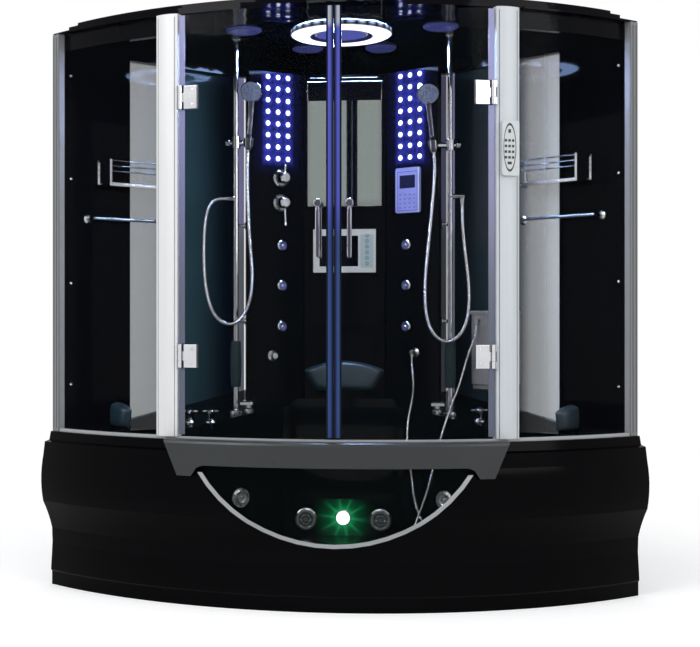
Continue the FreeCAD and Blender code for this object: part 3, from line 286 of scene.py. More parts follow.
def led_glow(finish):
    """Blue light round a panel's lamps, darker in the middle of each four, on the front skin only."""
    u, z = finish.panel_u(), finish.z
    first, second, last = LED_COLUMNS
    top = LED_LOW + LED_PITCH * (LED_ROWS - 1)
    away = finish.length(finish.cell(u, first, (second - first) / 2), finish.cell(z, LED_LOW, LED_PITCH / 2))
    field_u = finish.band(u, first - 0.023, last + 0.024, 0.012)
    field_z = finish.band(z, LED_LOW - 0.022, top + 0.030, 0.014)
    halo_u = finish.band(u, first - 0.053, last + 0.053, 0.030)
    halo_z = finish.band(z, LED_LOW - 0.050, top + 0.060, 0.030)
    near = finish.ramp(away, 0.008, 0.032, 1.3, 0.62)
    light = finish.plus(finish.times(field_u, field_z, near), finish.times(halo_u, halo_z, 0.10))
    mottle = finish.ramp(finish.noise(70.0), 0.35, 0.65, 0.55, 1.3)
    return finish.times(light, mottle, finish.below(finish.panel_depth(), 0.002, 0.004))


def tower_finish():
    finish = black_gloss("column_gloss", rough=0.05, specular=0.025).worn(0.02, 6.0)
    finish.glow((0.030, 0.038, 0.38), led_glow(finish))
    return finish


def lamp_finish():
    """White ring, fine lip, blue disc, and dark blue speakers and grilles with a faint speckled painted blue
    glow; brighter as mirrors see it.
    """
    finish = Finish("ceiling_lights", (0.03, 0.035, 0.09), 0.25, specular=0.2)
    away = finish.length(finish.minus(finish.x, LAMP_X), finish.minus(finish.y, LAMP_Y))
    ring = finish.band(away, 0.127, 0.200, 0.004)
    lip = finish.band(away, 0.100, 0.108, 0.002)
    disc = finish.below(away, 0.096, 0.100)
    others = finish.ramp(away, 0.21, 0.215)
    path = finish.node("LightPath")
    first = finish.calc("LESS_THAN", path.outputs["Ray Depth"], 1.5)
    mirrored = finish.times(path.outputs["Is Glossy Ray"], first)
    shine = finish.plus(1.0, finish.times(mirrored, 60.0))
    # Painted glow: everything outside the ring, the speakers, fan grille and spray, glows faintly blue though
    # it is no lamp.
    painted_glow_speckle = finish.ramp(finish.noise(260.0), 0.35, 0.65, 0.04, 0.20)
    strength = finish.plus(finish.times(ring, shine, 2.2), finish.times(lip, 0.35), finish.times(disc, 0.34),
                           finish.times(others, painted_glow_speckle))
    color = finish.mix(finish.plus(disc, others), (0.93, 0.95, 1.0), (0.24, 0.28, 1.0))
    finish.glow(finish.mix(mirrored, color, (0.36, 0.55, 1.0)), strength)
    return finish


def glass_pane(name, color, cover, rough=0.03):
    finish = Finish(name, color, rough, specular=0.1)
    finish.worn(0.015, 5.0)
    smears = finish.noise(3.0, 4.0, (1, 1, 0.15))
    finish.feed("Alpha", finish.ramp(smears, 0.2, 0.8, cover * 0.9, cover * 1.1))
    return finish


def wall_glass_finish():
    """Back glass: clear towards the open end, dark towards the column, with painted light: lighter towards
    the open end, lighter on the right and brightest at the far right.
    """
    finish = Finish("wall_glass", (0.02, 0.04, 0.05), 0.04, specular=0.03)
    w = finish.wall_w()
    # Painted light: the colour lightens towards the open end and on the right, and the far right end is
    # painted bright for the light seen through it.
    painted_light_outward = finish.ramp(w, 0.70, 0.93)
    right = finish.ramp(finish.x, -0.05, 0.05)
    dark = finish.mix(painted_light_outward, (0.002, 0.004, 0.026), (0.034, 0.084, 0.108))
    painted_light_right_tone = finish.mix(painted_light_outward, (0.012, 0.026, 0.042), (0.040, 0.062, 0.080))
    far = finish.times(right, finish.ramp(w, 1.10, 1.25))
    clear = finish.mix(far, (0.17, 0.21, 0.23), (0.55, 0.64, 0.70))
    finish.paint(finish.mix(finish.ramp(w, 1.06, 1.20), finish.mix(right, dark, painted_light_right_tone), clear))
    finish.feed("Alpha", finish.ramp(w, 0.98, 1.10, 0.985, 0.50))
    finish.worn(0.02, 6.0)
    return finish


def outer_frame_finish():
    """Satin bars; the strips beside the column are painted bluish and glow with painted lamp light, the
    lamps' violet reflection above and grey below.
    """
    finish = Finish("satin_strips", (0.40, 0.41, 0.42), 0.4, metal=0.25, specular=0.15)
    finish.worn(0.05, 60.0, 0.00004, 900.0, 0.0, 0.0015, stretch=(1, 1, 0.02))
    # Painted reflection: the strips beside the column get a bluish base and a glow that stand in for the
    # lamps' light off them.
    strip = finish.times(finish.below(finish.abs_x, 0.58, 0.60), finish.ramp(finish.y, 0.20, 0.22))
    end_post = finish.ramp(finish.abs_x, 1.085, 1.09)
    painted_lamp_reflection = finish.mix(finish.ramp(finish.z, 1.36, 1.50), (0.26, 0.29, 0.33), (0.44, 0.44, 0.80))
    bar = finish.mix(finish.noise(30.0), (0.36, 0.37, 0.38), (0.42, 0.43, 0.44))
    bar = finish.mix(end_post, bar, (0.20, 0.205, 0.21))
    finish.paint(finish.mix(strip, bar, (0.16, 0.17, 0.28)))
    finish.glow(painted_lamp_reflection, finish.times(strip, 0.34))
    return finish


def seal_finish(name):
    """Vinyl with painted light from the lamps above and a faint painted glow, and painted shade in its groove
    and towards the sill.
    """
    finish = Finish(name, (0.02, 0.03, 0.06), 0.22, specular=0.12)
    # Painted light: lighter higher up, darker towards the sill.
    high = finish.ramp(finish.z, 1.30, 1.46)
    tone = finish.mix(high, (0.018, 0.038, 0.115), (0.046, 0.054, 0.270))
    crown = finish.ramp(finish.z, 2.06, 2.09)
    tone = finish.mix(crown, tone, (0.22, 0.24, 0.28))
    # Painted shade: only the front face beside the groove is lit; the groove, the far edges and the back are
    # painted dark.
    front = finish.below(finish.y, SEAM_Y - 0.0005, SEAM_Y + 0.0005)
    across = finish.times(finish.ramp(finish.abs_x, 0.003, 0.015), finish.below(finish.abs_x, 0.0200, 0.0215))
    lit = finish.times(across, front)
    finish.paint(finish.mix(lit, (0.002, 0.003, 0.012), tone))
    finish.glow(finish.mix(lit, (0.0005, 0.001, 0.010), tone), 0.6)
    finish.worn(0.05, 30.0, 0.00005, 400.0)
    return finish


def screen_finish():
    """Silver surround, dark screen, and a pale strip with a row of dark-ringed keys; all but the screen glow
    faintly with painted light.
    """
    screen_range = ((-0.1065, 0.0585), (1.2635, 1.3945))
    strip_range = ((0.068, 0.122), (1.258, 1.400))
    key_x, key_z, key_half_pitch = 0.096, 1.275, 0.012
    key_ring = (0.0045, 0.007, 0.0006)
    finish = Finish("screen_surround", (0.50, 0.53, 0.54), 0.3, metal=0.45, specular=0.08)
    screen = finish.box(finish.x, finish.z, *screen_range)
    strip = finish.box(finish.x, finish.z, *strip_range)
    away = finish.length(finish.minus(finish.x, key_x), finish.cell(finish.z, key_z, key_half_pitch))
    key = finish.times(strip, finish.band(away, *key_ring))
    silver = finish.mix(finish.noise(20.0), (0.50, 0.54, 0.55), (0.62, 0.66, 0.67))
    tone = finish.mix(strip, silver, (0.40, 0.50, 0.54))
    tone = finish.mix(key, tone, (0.04, 0.07, 0.11))
    finish.paint(finish.mix(screen, tone, (0.001, 0.001, 0.004)))
    # Painted light: the surround, strip and keys glow faintly though they are no lamp.
    finish.glow(tone, finish.ramp(screen, 0.4, 0.6, 0.12, 0.0))
    finish.feed("Metallic", finish.ramp(screen, 0.4, 0.6, 0.45, 0.0))
    finish.feed("Roughness", finish.ramp(screen, 0.4, 0.6, 0.3, 0.07))
    return finish


def handset_finish():
    """Silver slab with dark square keys inside a dark oval line."""
    key_u, key_half_pitch_u = 0.0055, 0.007
    key_z, key_half_pitch_z = 1.6105, 0.010
    key_range = (-0.0045, 0.0045)
    pad_range = ((-0.0135, 0.0245), (1.604, 1.680))
    top_key_range = ((-0.0005, 0.0095), (1.6975, 1.7105))
    foot_key_range = ((-0.0035, 0.0125), (1.5855, 1.5955))
    finish = Finish("remote_case", (0.50, 0.51, 0.52), 0.4, metal=0.1, specular=0.2)
    turn = math.radians(HANDSET_ANGLE)
    middle_x, middle_y = HANDSET_R * math.sin(turn), ARC_Y - HANDSET_R * math.cos(turn)
    along_x = finish.times(finish.minus(middle_x, finish.x), math.cos(turn))
    along_y = finish.times(finish.minus(middle_y, finish.y), math.sin(turn))
    u, z = finish.plus(along_x, along_y), finish.z
    oval_u, oval_z, half_u, half_z = HANDSET_FIELD
    across = finish.times(finish.minus(u, oval_u), 1 / half_u)
    upward = finish.times(finish.minus(z, oval_z), 1 / half_z)
    line = finish.band(finish.length(across, upward), 0.93, 1.03, 0.02)
    cell_u, cell_z = finish.cell(u, key_u, key_half_pitch_u), finish.cell(z, key_z, key_half_pitch_z)
    keys = finish.times(finish.box(cell_u, cell_z, key_range, key_range), finish.box(u, z, *pad_range))
    others = finish.plus(finish.box(u, z, *top_key_range), finish.box(u, z, *foot_key_range))
    marks = finish.calc("MINIMUM", finish.plus(keys, others, line), 1.0)
    tone = finish.mix(finish.noise(40.0), (0.47, 0.49, 0.50), (0.54, 0.56, 0.57))
    finish.paint(finish.mix(marks, tone, (0.03, 0.035, 0.04)))
    return finish


def keypad_finish():
    """Blue-lit silver case, navy display, thin outline, small keys and a bright ridge at its side."""
    display_range = ((0.0755, 0.1555), (1.586, 1.640))
    outline_outer = ((0.0655, 0.1670), (1.4915, 1.6560))
    outline_inner = ((0.0680, 0.1645), (1.4940, 1.6535))
    ridge_range = (0.1705, 0.1735)
    key_u, key_half_pitch_u = 0.080, 0.012
    key_z, key_half_pitch_z = 1.505, 0.009
    key_range = ((-0.0055, 0.0055), (-0.003, 0.003))
    pad_range = ((0.070, 0.162), (1.496, 1.566))
    finish = Finish("keypad_case", (0.26, 0.30, 0.68), 0.34, metal=0.3)
    u, z = finish.panel_u(), finish.z
    display = finish.box(u, z, *display_range)
    outline = finish.minus(finish.box(u, z, *outline_outer), finish.box(u, z, *outline_inner))
    cell_u, cell_z = finish.cell(u, key_u, key_half_pitch_u), finish.cell(z, key_z, key_half_pitch_z)
    keys = finish.times(finish.box(cell_u, cell_z, *key_range), finish.box(u, z, *pad_range))
    tone = finish.mix(finish.noise(25.0), (0.22, 0.25, 0.60), (0.32, 0.36, 0.78))
    tone = finish.mix(outline, tone, (0.06, 0.07, 0.30))
    tone = finish.mix(finish.times(keys, 0.75), tone, (0.10, 0.12, 0.45))
    tone = finish.mix(finish.band(u, *ridge_range), tone, (0.75, 0.80, 0.85))
    finish.paint(finish.mix(display, tone, (0.006, 0.008, 0.05)))
    finish.glow(tone, finish.ramp(display, 0.4, 0.6, 0.30, 0.0))
    return finish


def well_glow(finish):
    """Green light round the lamp under the rear seat, with faint rays."""
    dx, dz = finish.minus(finish.x, WELL_LIGHT[0]), finish.minus(finish.z, WELL_LIGHT[2])
    away = finish.length(dx, dz)
    angle = finish.calc("ARCTAN2", dz, dx)
    rays = finish.calc("ABSOLUTE", finish.calc("COSINE", finish.plus(finish.times(angle, 5.0), 0.5)))
    rays = finish.calc("POWER", rays, 10.0)
    wide = finish.below(away, 0.02, 0.17)
    near = finish.below(away, 0.015, 0.075)
    light = finish.plus(finish.times(near, near, 0.9), finish.times(wide, wide, 0.22),
                        finish.times(rays, finish.ramp(away, 0.02, 0.12, 0.55, 0.0)))
    return finish.times(light, finish.ramp(finish.y, 0.060, 0.095), finish.below(finish.y, *WELL_SKIN))


def tub_finish():
    finish = black_gloss("bath_gloss", (0.002, 0.0026, 0.0035), 0.05, 0.08).worn(0.02, 4.0)
    finish.glow((0.01, 0.34, 0.11), well_glow(finish))
    return finish


def fittings_finish():
    """Chrome with a faint painted glow, the drilled suction covers with painted shade in their holes and a
    painted glow on their faces and rims, and the green lamp in the well.
    """
    slot_pitch = 0.0130
    finish = chrome("bath_chrome", (0.60, 0.62, 0.66), 0.12)
    lamp = finish.below(finish.distance(*WELL_LIGHT), 0.028, 0.031)
    lamp = finish.times(lamp, finish.below(finish.y, *WELL_SKIN))
    away = finish.length(finish.minus(finish.abs_x, SUCTION_X), finish.minus(finish.z, SUCTION_Z))
    near_wall = finish.times(finish.ramp(finish.y, 0.085, 0.09), finish.below(finish.y, 0.11, 0.115))
    cover = finish.times(finish.below(away, 0.040, 0.042), near_wall)
    slots = finish.calc("COSINE", finish.times(away, 2 * math.pi / slot_pitch))
    # Painted shade: the holes of the suction covers are painted dark.
    dark = finish.times(cover, finish.ramp(slots, -0.2, 0.4, 0.0, 0.9))
    finish.paint(finish.mix(dark, (0.40, 0.43, 0.44), (0.010, 0.016, 0.016)))
    # Painted glow: the covers' faces and rims and, faintly, all the chrome glow though they are no lamp.
    face = finish.times(cover, finish.ramp(slots, -0.2, 0.4, 0.06, 0.0))
    rim = finish.times(finish.band(away, 0.0355, 0.0395), near_wall, 0.10)
    shine = finish.plus(finish.times(lamp, 2.6), face, rim, 0.02)
    finish.glow(finish.mix(lamp, (0.50, 0.58, 0.56), (0.55, 1.0, 0.72)), shine)
    return finish


def hose_finish(name, pitch):
    """Spiral-wrapped metal: bright ribs with painted shade in the gaps along the hose."""
    finish = Finish(name, (0.55, 0.56, 0.58), 0.25, metal=0.9)
    mapped = finish.tree.nodes["Texture Coordinate"].outputs["UV"]
    along = finish.node("SeparateXYZ", mapped).outputs[0]
    rib_with_painted_gap_shade = finish.ramp(finish.calc("SINE", finish.times(along, 2 * math.pi * pitch)), -0.8, 0.5)
    # Painted shade: the gaps between ribs are painted dark; the same mask gives the ribs their relief.
    finish.paint(finish.mix(rib_with_painted_gap_shade, (0.26, 0.26, 0.28), (0.86, 0.86, 0.88)))
    relief = finish.node("Bump")
    relief.inputs["Distance"].default_value = 0.0008
    finish.put(relief.inputs["Height"], rib_with_painted_gap_shade)
    finish.feed("Normal", relief.outputs[0])
    return finish


def foam_finish():
    finish = Finish("foam_skin", (0.012, 0.028, 0.032), 0.62, specular=0.25)
    return finish.worn(0.1, 120.0, 0.0006, 700.0, 0.35)


def pillow_finish():
    finish = Finish("pillow_skin", (0.014, 0.040, 0.058), 0.36, specular=0.45)
    # Painted reflection: the skin is painted darker on the left and lighter on the right.
    side = finish.ramp(finish.x, -0.10, 0.16)
    tone = finish.mix(side, (0.006, 0.028, 0.046), (0.030, 0.050, 0.070))
    finish.worn(0.06, 14.0, 0.00025, 420.0)
    finish.paint(finish.mix(finish.times(finish.noise(25.0), 0.5), tone, (0.045, 0.070, 0.085)))
    return finish


def mirror_finish():
    """Silvering, darker towards the sides and the bottom."""
    finish = Finish("mirror_silver", (0.36, 0.41, 0.39), 0.03, metal=1.0)
    edge = finish.calc("MAXIMUM", finish.ramp(finish.abs_x, 0.140, 0.159), finish.ramp(finish.z, 1.56, 1.525))
    finish.paint(finish.mix(finish.times(edge, 0.5), (0.36, 0.41, 0.39), (0.24, 0.26, 0.26)))
    return finish


# ---- who wears what ----
def dress_nodes():
    finishes = {
        "tower": tower_finish(),
        "tub_shell": tub_finish(),
        "apron": black_gloss("apron_gloss", (0.001, 0.001, 0.0015), 0.12, 0.035).worn(0.05, 2.5),
        "roof_shell": black_gloss("roof_gloss", rough=0.05, specular=0.05).worn(0.02, 5.0, 0.0025, 9.0),
        "ceiling_fittings": lamp_finish(),
        "black_panels": black_gloss("panel_black", rough=0.035, specular=0.025).worn(0.015, 3.0),
        "mirror": mirror_finish(),
        "tv_unit": screen_finish(),
        "control_panel": keypad_finish(),
        "water_fittings": fittings_finish(),
        "outer_frame": outer_frame_finish(),
        "wall_glass": wall_glass_finish(),
        "side_glass": glass_pane("side_pane", (0.006, 0.008, 0.009), 0.05),
        "window_glass": glass_pane("window_pane", (0.004, 0.008, 0.008), 0.10),
        "threshold_brow": Finish("brow_satin", (0.028, 0.031, 0.033), 0.32, specular=0.3)
        .worn(0.06, 8.0, 0.0001, 500.0, 0.10, 0.002),
        "inner_posts": satin_silver(),
        "window_trim": Finish("window_trim_satin", (0.34, 0.35, 0.355), 0.4, metal=0.4, specular=0.2)
        .worn(0.06, 30.0, 0.00004, 600.0, 0.08, 0.002),
        "tub_frame": Finish("frame_paint", (0.30, 0.31, 0.32), 0.5).worn(0.08, 20.0, 0.0002, 200.0, 0.15),
        "levelling_feet": Finish("foot_rubber", (0.05, 0.05, 0.05), 0.7).worn(0.08, 40.0, 0.0003, 300.0, 0.2),
        "massage_pump": Finish("pump_case", (0.09, 0.09, 0.10), 0.5).worn(0.1, 30.0, 0.0003, 400.0, 0.2),
        "steam_generator": Finish("generator_case", (0.34, 0.34, 0.35), 0.28, specular=0.5)
        .worn(0.05, 15.0, 0.0001, 300.0, 0.05, 0.003),
        "fan_rotor": Finish("fan_blades", (0.10, 0.10, 0.12), 0.45).worn(0.08, 40.0, 0.0001, 300.0, 0.2),
        "remote": handset_finish(),
        "shelves": chrome("shelf_chrome", (0.62, 0.64, 0.66), 0.14, 0.0015, 0.4),
        "risers": chrome("riser_chrome", (0.78, 0.78, 0.80), 0.10, 0.006, 0.2, (-0.2, 0.06)),
    }
    bar = chrome("bar_chrome", (0.74, 0.74, 0.78), 0.10, 0.002, 0.10, (-0.2, 0.24))
    bath_jet = chrome("bath_jet_chrome", (0.62, 0.64, 0.66), 0.12)
    # Painted glow: the bath jets' chrome glows faintly in a random pattern though they are no lamp.
    bath_jet.glow((0.45, 0.48, 0.48), bath_jet.ramp(bath_jet.noise(120.0), 0.4, 0.6, 0.03, 0.22))
    for side in BOTH:
        finishes["door_handle_" + side] = bar
        finishes["bath_jet_" + side] = bath_jet
        finishes["door_glass_" + side] = glass_pane("door_pane_" + side, (0.003, 0.006, 0.008), 0.11)
        finishes["door_seal_" + side] = seal_finish("door_seal_vinyl_" + side)
    polished = chrome("polished_chrome", (0.66, 0.67, 0.70), 0.10)
    for name in nodes:
        nodes[name].data.materials.clear()
        nodes[name].data.materials.append(finishes.get(name, polished).material)
    return polished, bar


polished, bar_chrome = dress_nodes()


# ---- mesh helpers ----
def mm(*points):
    """Points given in millimetres."""
    return [tuple(part / 1000 for part in point) for point in points]


def piece(name, mesh, finishes, body, smooth=True):
    """A named piece of the scene, from one mesh or a list of them."""
    if isinstance(mesh, list):
        mesh = join_meshes(name, mesh)
    mesh.update()
    for finish in finishes:
        mesh.materials.append(finish.material)
    if smooth:
        mesh.polygons.foreach_set("use_smooth", [True] * len(mesh.polygons))
    made = add(name, mesh)
    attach(made, body)
    return made


def ring_mesh(name, rings, tones=(), closed=True):
    """Skin over a stack of rings of points; tones gives each gap's material index."""
    mesh = bpy.data.meshes.new(name)
    sides = len(rings[0])
    points = [point for ring in rings for point in ring]
    faces = []
    indices = []
    for k in range(len(rings) - 1):
        for i in range(sides):
            j = (i + 1) % sides
            faces.append((k * sides + i, k * sides + j, (k + 1) * sides + j, (k + 1) * sides + i))
            indices.append(tones[k] if tones else 0)
    if closed:
        faces.append(tuple(reversed(range(sides))))
        faces.append(tuple(range((len(rings) - 1) * sides, len(rings) * sides)))
        indices += [indices[0], indices[-1]]
    mesh.from_pydata(points, [], faces)
    mesh.polygons.foreach_set("material_index", indices)
    return mesh


def circle(centre, radius, axis, sides):
    """Ring of points round an axis."""
    turn = Vector((0, 0, 1)).rotation_difference(Vector(axis))
    angles = [2 * math.pi * i / sides for i in range(sides)]
    return [Vector(centre) + turn @ Vector((radius * math.cos(a), radius * math.sin(a), 0)) for a in angles]


def lathe(profile, centre, axis, sides):
    """Rings from (radius, height) pairs along an axis."""
    along = Vector(axis).normalized()
    return [circle(Vector(centre) + along * height, radius, axis, sides) for radius, height in profile]


@contextmanager
def opened(mesh):
    """The mesh as a bmesh, written back at the end."""
    build = bmesh.new()
    build.from_mesh(mesh)
    yield build
    build.to_mesh(mesh)
    build.free()


def join_meshes(name, meshes):
    """One mesh from several, keeping material indices."""
    joined = bpy.data.meshes.new(name)
    with opened(joined) as build:
        for mesh in meshes:
            build.from_mesh(mesh)
            bpy.data.meshes.remove(mesh)
    return joined


def smooth_by_angle(target, limit=40.0):
    """Crease the sharp edges, so that caps stay flat beside round walls."""
    with opened(target.data) as build:
        bmesh.ops.recalc_face_normals(build, faces=build.faces)
        for edge in build.edges:
            if edge.is_manifold and math.degrees(edge.calc_face_angle(0.0)) > limit:
                edge.smooth = False


def panel_spot(side, along, z, proud=0.0):
    """A point on the column's slanted panel."""
    x = PANEL_X + PANEL_COS * along - PANEL_SIN * proud
    return Vector((SIDES[side] * x, PANEL_Y - PANEL_SIN * along - PANEL_COS * proud, z))


def panel_out(side):
    return Vector((-SIDES[side] * PANEL_SIN, -PANEL_COS, 0))


def wall_spot(side, along, proud, z):
    """A point before a side wall, from its distances along and out of the room's wall."""
    x, y = (along - proud) * math.sqrt(0.5), (along + proud) * math.sqrt(0.5)
    return Vector((SIDES[side] * x, CORNER_Y - y, z))


def wall_out(side):
    return Vector((-SIDES[side] * math.sqrt(0.5), -math.sqrt(0.5), 0))


def arc_spot(radius, degrees, z):
    """A point on an arc about the axis of the curved front."""
    a = math.radians(degrees)
    return Vector((radius * math.sin(a), ARC_Y - radius * math.cos(a), z))


# ---- hoses ----
LEFT_HOSE = mm(
    (-385.88, 4.5, 1732.05), (-389.58, 4.5, 1673.2), (-387, -4, 1570), (-382, -16, 1455),
    (-374, -27, 1340), (-364, -32, 1235), (-366, -33, 1149), (-384, -33, 1080), (-412, -32, 1036),
    (-452, -31, 1014), (-498, -31, 1028), (-533, -26, 1075), (-556, -18, 1150), (-566, -10, 1248),
    (-568, -2, 1350), (-564, 4, 1440), (-548, 4.6, 1508), (-518, 4.5, 1534), (-480, 4.5, 1534)
)
RIGHT_HOSE = mm(
    (371.14, 4.5, 1712.15), (376.37, 4.5, 1662.4), (370, -3, 1560), (360, -15, 1450), (347, -26, 1325),
    (335, -32, 1200), (334, -33, 1100), (346, -33, 1022), (374, -32, 968), (420, -31, 942),
    (468, -32, 964), (500, -29, 1020), (512, -22, 1098), (510, -11, 1190), (496, -1, 1310),
    (485, 4.5, 1420), (485, 4.5, 1504)
)
THIN_HOSE = mm(
    (284.4, 137.1, 882), (284.4, 137.1, 834), (292, 122, 774), (287, 88, 716), (272, 58, 652),
    (263, 34, 584), (265, 20, 510), (277, 10, 436), (285, 2, 366), (293, -8, 302), (312, -22, 244),
    (340, -40, 196), (368, -68, 160), (374, -108, 150.4), (346, -140, 150.6), (306, -134, 156),
    (286, -104, 182), (300, -86, 236), (326, -80, 300), (350, -76, 376), (370, -73, 460), (392, -70, 548),
    (416, -60, 628), (440, -26, 694), (466, 10, 752), (488, 32, 820), (508, 42, 890), (530, 50, 946),
    (542.4, 52.8, 968), (542.4, 52.8, 1016)
)


def tube_mesh(curve_object):
    """The curve's centreline points and its tube as a mesh."""
    thick = curve_object.data.bevel_depth
    meshes = []
    for depth in (0.0, thick):
        curve_object.data.bevel_depth = depth
        bpy.context.view_layer.update()
        graph = bpy.context.evaluated_depsgraph_get()
        meshes.append(bpy.data.meshes.new_from_object(curve_object.evaluated_get(graph)))
    line, tube = meshes
    path = [tuple(vertex.co) for vertex in line.vertices]
    bpy.data.meshes.remove(line)
    tube.polygons.foreach_set("use_smooth", [True] * len(tube.polygons))
    return path, tube


def make_hose(name, route, diameter, length, node, holder=None):
    """A hose along its route; where it has a holder, it is turned into a plain mesh."""
    curve = bpy.data.curves.new(name, "CURVE")
    curve.dimensions = "3D"
    spline = curve.splines.new("NURBS")
    spline.points.add(len(route) - 1)
    for point, spot in zip(spline.points, route):
        point.co = (*spot, 1.0)
    spline.order_u = 3
    spline.use_endpoint_u = True
    curve.resolution_u = 10
    curve.bevel_depth = diameter / 2
    curve.bevel_resolution = 5
    curve.use_fill_caps = True
    curve.materials.append(hose_finish(name + "_wrap", length / 0.0045).material)
    hose = add(name, curve)
    path = None
    if holder:
        path, tube = tube_mesh(hose)
        bpy.data.objects.remove(hose)
        hose = add(name, tube)
        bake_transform(hose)
    else:
        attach(hose, "cabin")
    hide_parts(node)


make_hose("left_shower_hose", LEFT_HOSE, 0.014, 1.371, "hose_left", "left")
make_hose("right_shower_hose", RIGHT_HOSE, 0.014, 1.405, "hose_right", "right")
make_hose("elbow_hose", THIN_HOSE, 0.010, 1.839, "thin_hose")


# ---- lamps in the column ----
def make_led_domes():
    """Round lenses over the 48 lamps: white in the middle, blue at the rim."""
    profile = mm((11.2, 0.2), (11.2, 1.6), (10, 3), (6.2, 3.9), (0.4, 4.2))
    meshes = []
    for side in BOTH:
        for along in LED_COLUMNS:
            for row in range(LED_ROWS):
                spot = panel_spot(side, along, LED_LOW + LED_PITCH * row)
                meshes.append(ring_mesh("dome", lathe(profile, spot, panel_out(side), 16), (1, 1, 0, 0)))
    white = Finish("lamp_white", (0.8, 0.85, 1.0), 0.3)
    white.glow((0.92, 0.95, 1.0), white.ramp(white.noise(400.0), 0.2, 0.8, 2.4, 3.0))
    rim = Finish("lamp_rim", (0.2, 0.25, 0.8), 0.25)
    rim.glow((0.45, 0.52, 1.0), rim.ramp(rim.noise(400.0), 0.2, 0.8, 0.8, 1.2))
    domes = piece("lamp_domes", meshes, (white, rim), "cabin")
    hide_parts("led_lenses")


make_led_domes()


# ---- body jets ----
def make_body_jets():
    """Bevelled chrome rim, blue-grey face with a ring of studs and a bright nozzle."""
    face = Finish("jet_face", (0.075, 0.095, 0.29), 0.3, metal=0.35).worn(0.08, 90.0, 0.0003, 900.0, 0.4)
    tip = Finish("jet_tip", (0.75, 0.78, 0.9), 0.2, metal=0.6).worn(0.06, 90.0)
    profile = mm((15, -15.5), (15, 0.4), (23.8, 0.6), (24, 4), (22.6, 6.2), (18.6, 8.4), (16.6, 8.8),
                 (13.2, 6.6), (7.8, 5.6), (5.2, 5.8), (4.6, 9.6), (3.6, 10.8), (0.6, 11.2))
    tones = (0, 0, 0, 0, 0, 1, 1, 1, 1, 2, 2, 2)
    stud = mm((0.7, 6.6), (1.1, 8.6), (0.4, 9.2))
    stud_count, stud_circle = 16, 0.0118
    for side in BOTH:
        out = panel_out(side)
        for name, z in JET_ROWS.items():
            centre = panel_spot(side, JET_U, z, 0.0003)
            meshes = [ring_mesh("head", lathe(profile, centre, out, 32), tones)]
            across = Vector((0, 0, 1)).cross(out).normalized()
            for i in range(stud_count):
                a = 2 * math.pi * i / stud_count
                way = across * math.cos(a) + Vector((0, 0, 1)) * math.sin(a)
                meshes.append(ring_mesh("stud", lathe(stud, centre + way * stud_circle, out, 5), (2, 2)))
            label = "body_jet_%s_%s" % (side, name)
            jet = piece("jet_head_%s_%s" % (side, name), meshes, (polished, face, tip),
                        "jet_%s_%s" % (side, name))
            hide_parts(label)


make_body_jets()


# ---- hand showers ----
def in_holder(point, side):
    """From the cradle's own frame to its place beside the riser, in metres."""
    reach, height, lean = HOLDERS[side]
    tilted = Matrix.Rotation(math.radians(-lean), 3, "Y") @ Vector(point)
    return Vector((SIDES[side] * (RISER_X - reach + tilted.x), RISER_Y + tilted.y, height + tilted.z))


def shower_parts():
    """Handle, head and spray tips in the cradle's own frame, each as rings with their tones."""
    spine = mm((-30, 0, 9), (-22, 0, 12.2), (-6, 0, 13), (14, 0, 13.6), (21, 0, 13.2), (26, 0, 10.6),
               (45, 0, 10), (62, 0.5, 10.2), (85, 3, 10.6), (108, 4.6, 11), (130, 4.6, 11.4),
               (150, 3.4, 11.8), (168, 1, 12.4), (183, -3, 13), (196, -8, 12), (204, -12, 10))
    head = mm((0.4, -2.2), (22, -2), (36, -1), (40.5, 0.2), (42.5, 0.4), (44.2, 2.4), (45, 5.6), (44, 9.2),
              (40.8, 13.4), (33, 18.2), (22, 23), (13, 26.2), (1, 26.8))
    tip = mm((1.2, -0.6), (1, -3), (0.5, -3.8))
    tip_circles = ((0.007, 6), (0.0145, 12), (0.0225, 18), (0.0305, 24), (0.0370, 30))
    centre, axis = Vector((0, -0.024, 0.206)), Vector((0, 0.94, 0.34)).normalized()
    across = Vector((1, 0, 0))
    upward = axis.cross(across).normalized()
    handle = []
    for k, (z, y, radius) in enumerate(spine):
        low, high = spine[max(k - 1, 0)], spine[min(k + 1, len(spine) - 1)]
        handle.append(circle((0, y, z), radius, (0, high[1] - low[1], high[0] - low[0]), 24))
    parts = [(handle, ()), (lathe(head, centre, axis, 48), (1, 1, 1, 0, 0, 0, 0, 0, 0, 0, 0, 0))]
    for radius, count in tip_circles:
        for i in range(count):
            a = 2 * math.pi * (i + 0.5) / count
            spot = centre + (across * math.cos(a) + upward * math.sin(a)) * radius
            parts.append((lathe(tip, spot, axis, 6), (2, 2)))
    return parts


def make_hand_showers():
    plate = Finish("spray_plate", (0.08, 0.10, 0.18), 0.35, metal=0.3).worn(0.08, 60.0, 0.0003, 800.0, 0.3)
    # Painted glow: the spray plate glows blue in a dotted pattern though it is no lamp.
    painted_glow_dots = plate.ramp(plate.noise(190.0, 1.0), 0.42, 0.58)
    plate.glow(plate.mix(painted_glow_dots, (0.02, 0.03, 0.08), (0.26, 0.32, 0.48)), 0.55)
    rubber = Finish("spray_tips", (0.30, 0.34, 0.50), 0.5).worn(0.08, 60.0)
    parts = shower_parts()
    for side in BOTH:
        meshes = []
        for rings, tones in parts:
            placed = [[in_holder(point, side) for point in ring] for ring in rings]
            meshes.append(ring_mesh("shower_part", placed, tones))
        mesh = join_meshes("shower_" + side, meshes)
        if side == "left":
            mesh.flip_normals()
        shower = piece("shower_head_" + side, mesh, (bar_chrome, plate, rubber), "shower_" + side)
        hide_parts("hand_shower_" + side)


make_hand_showers()


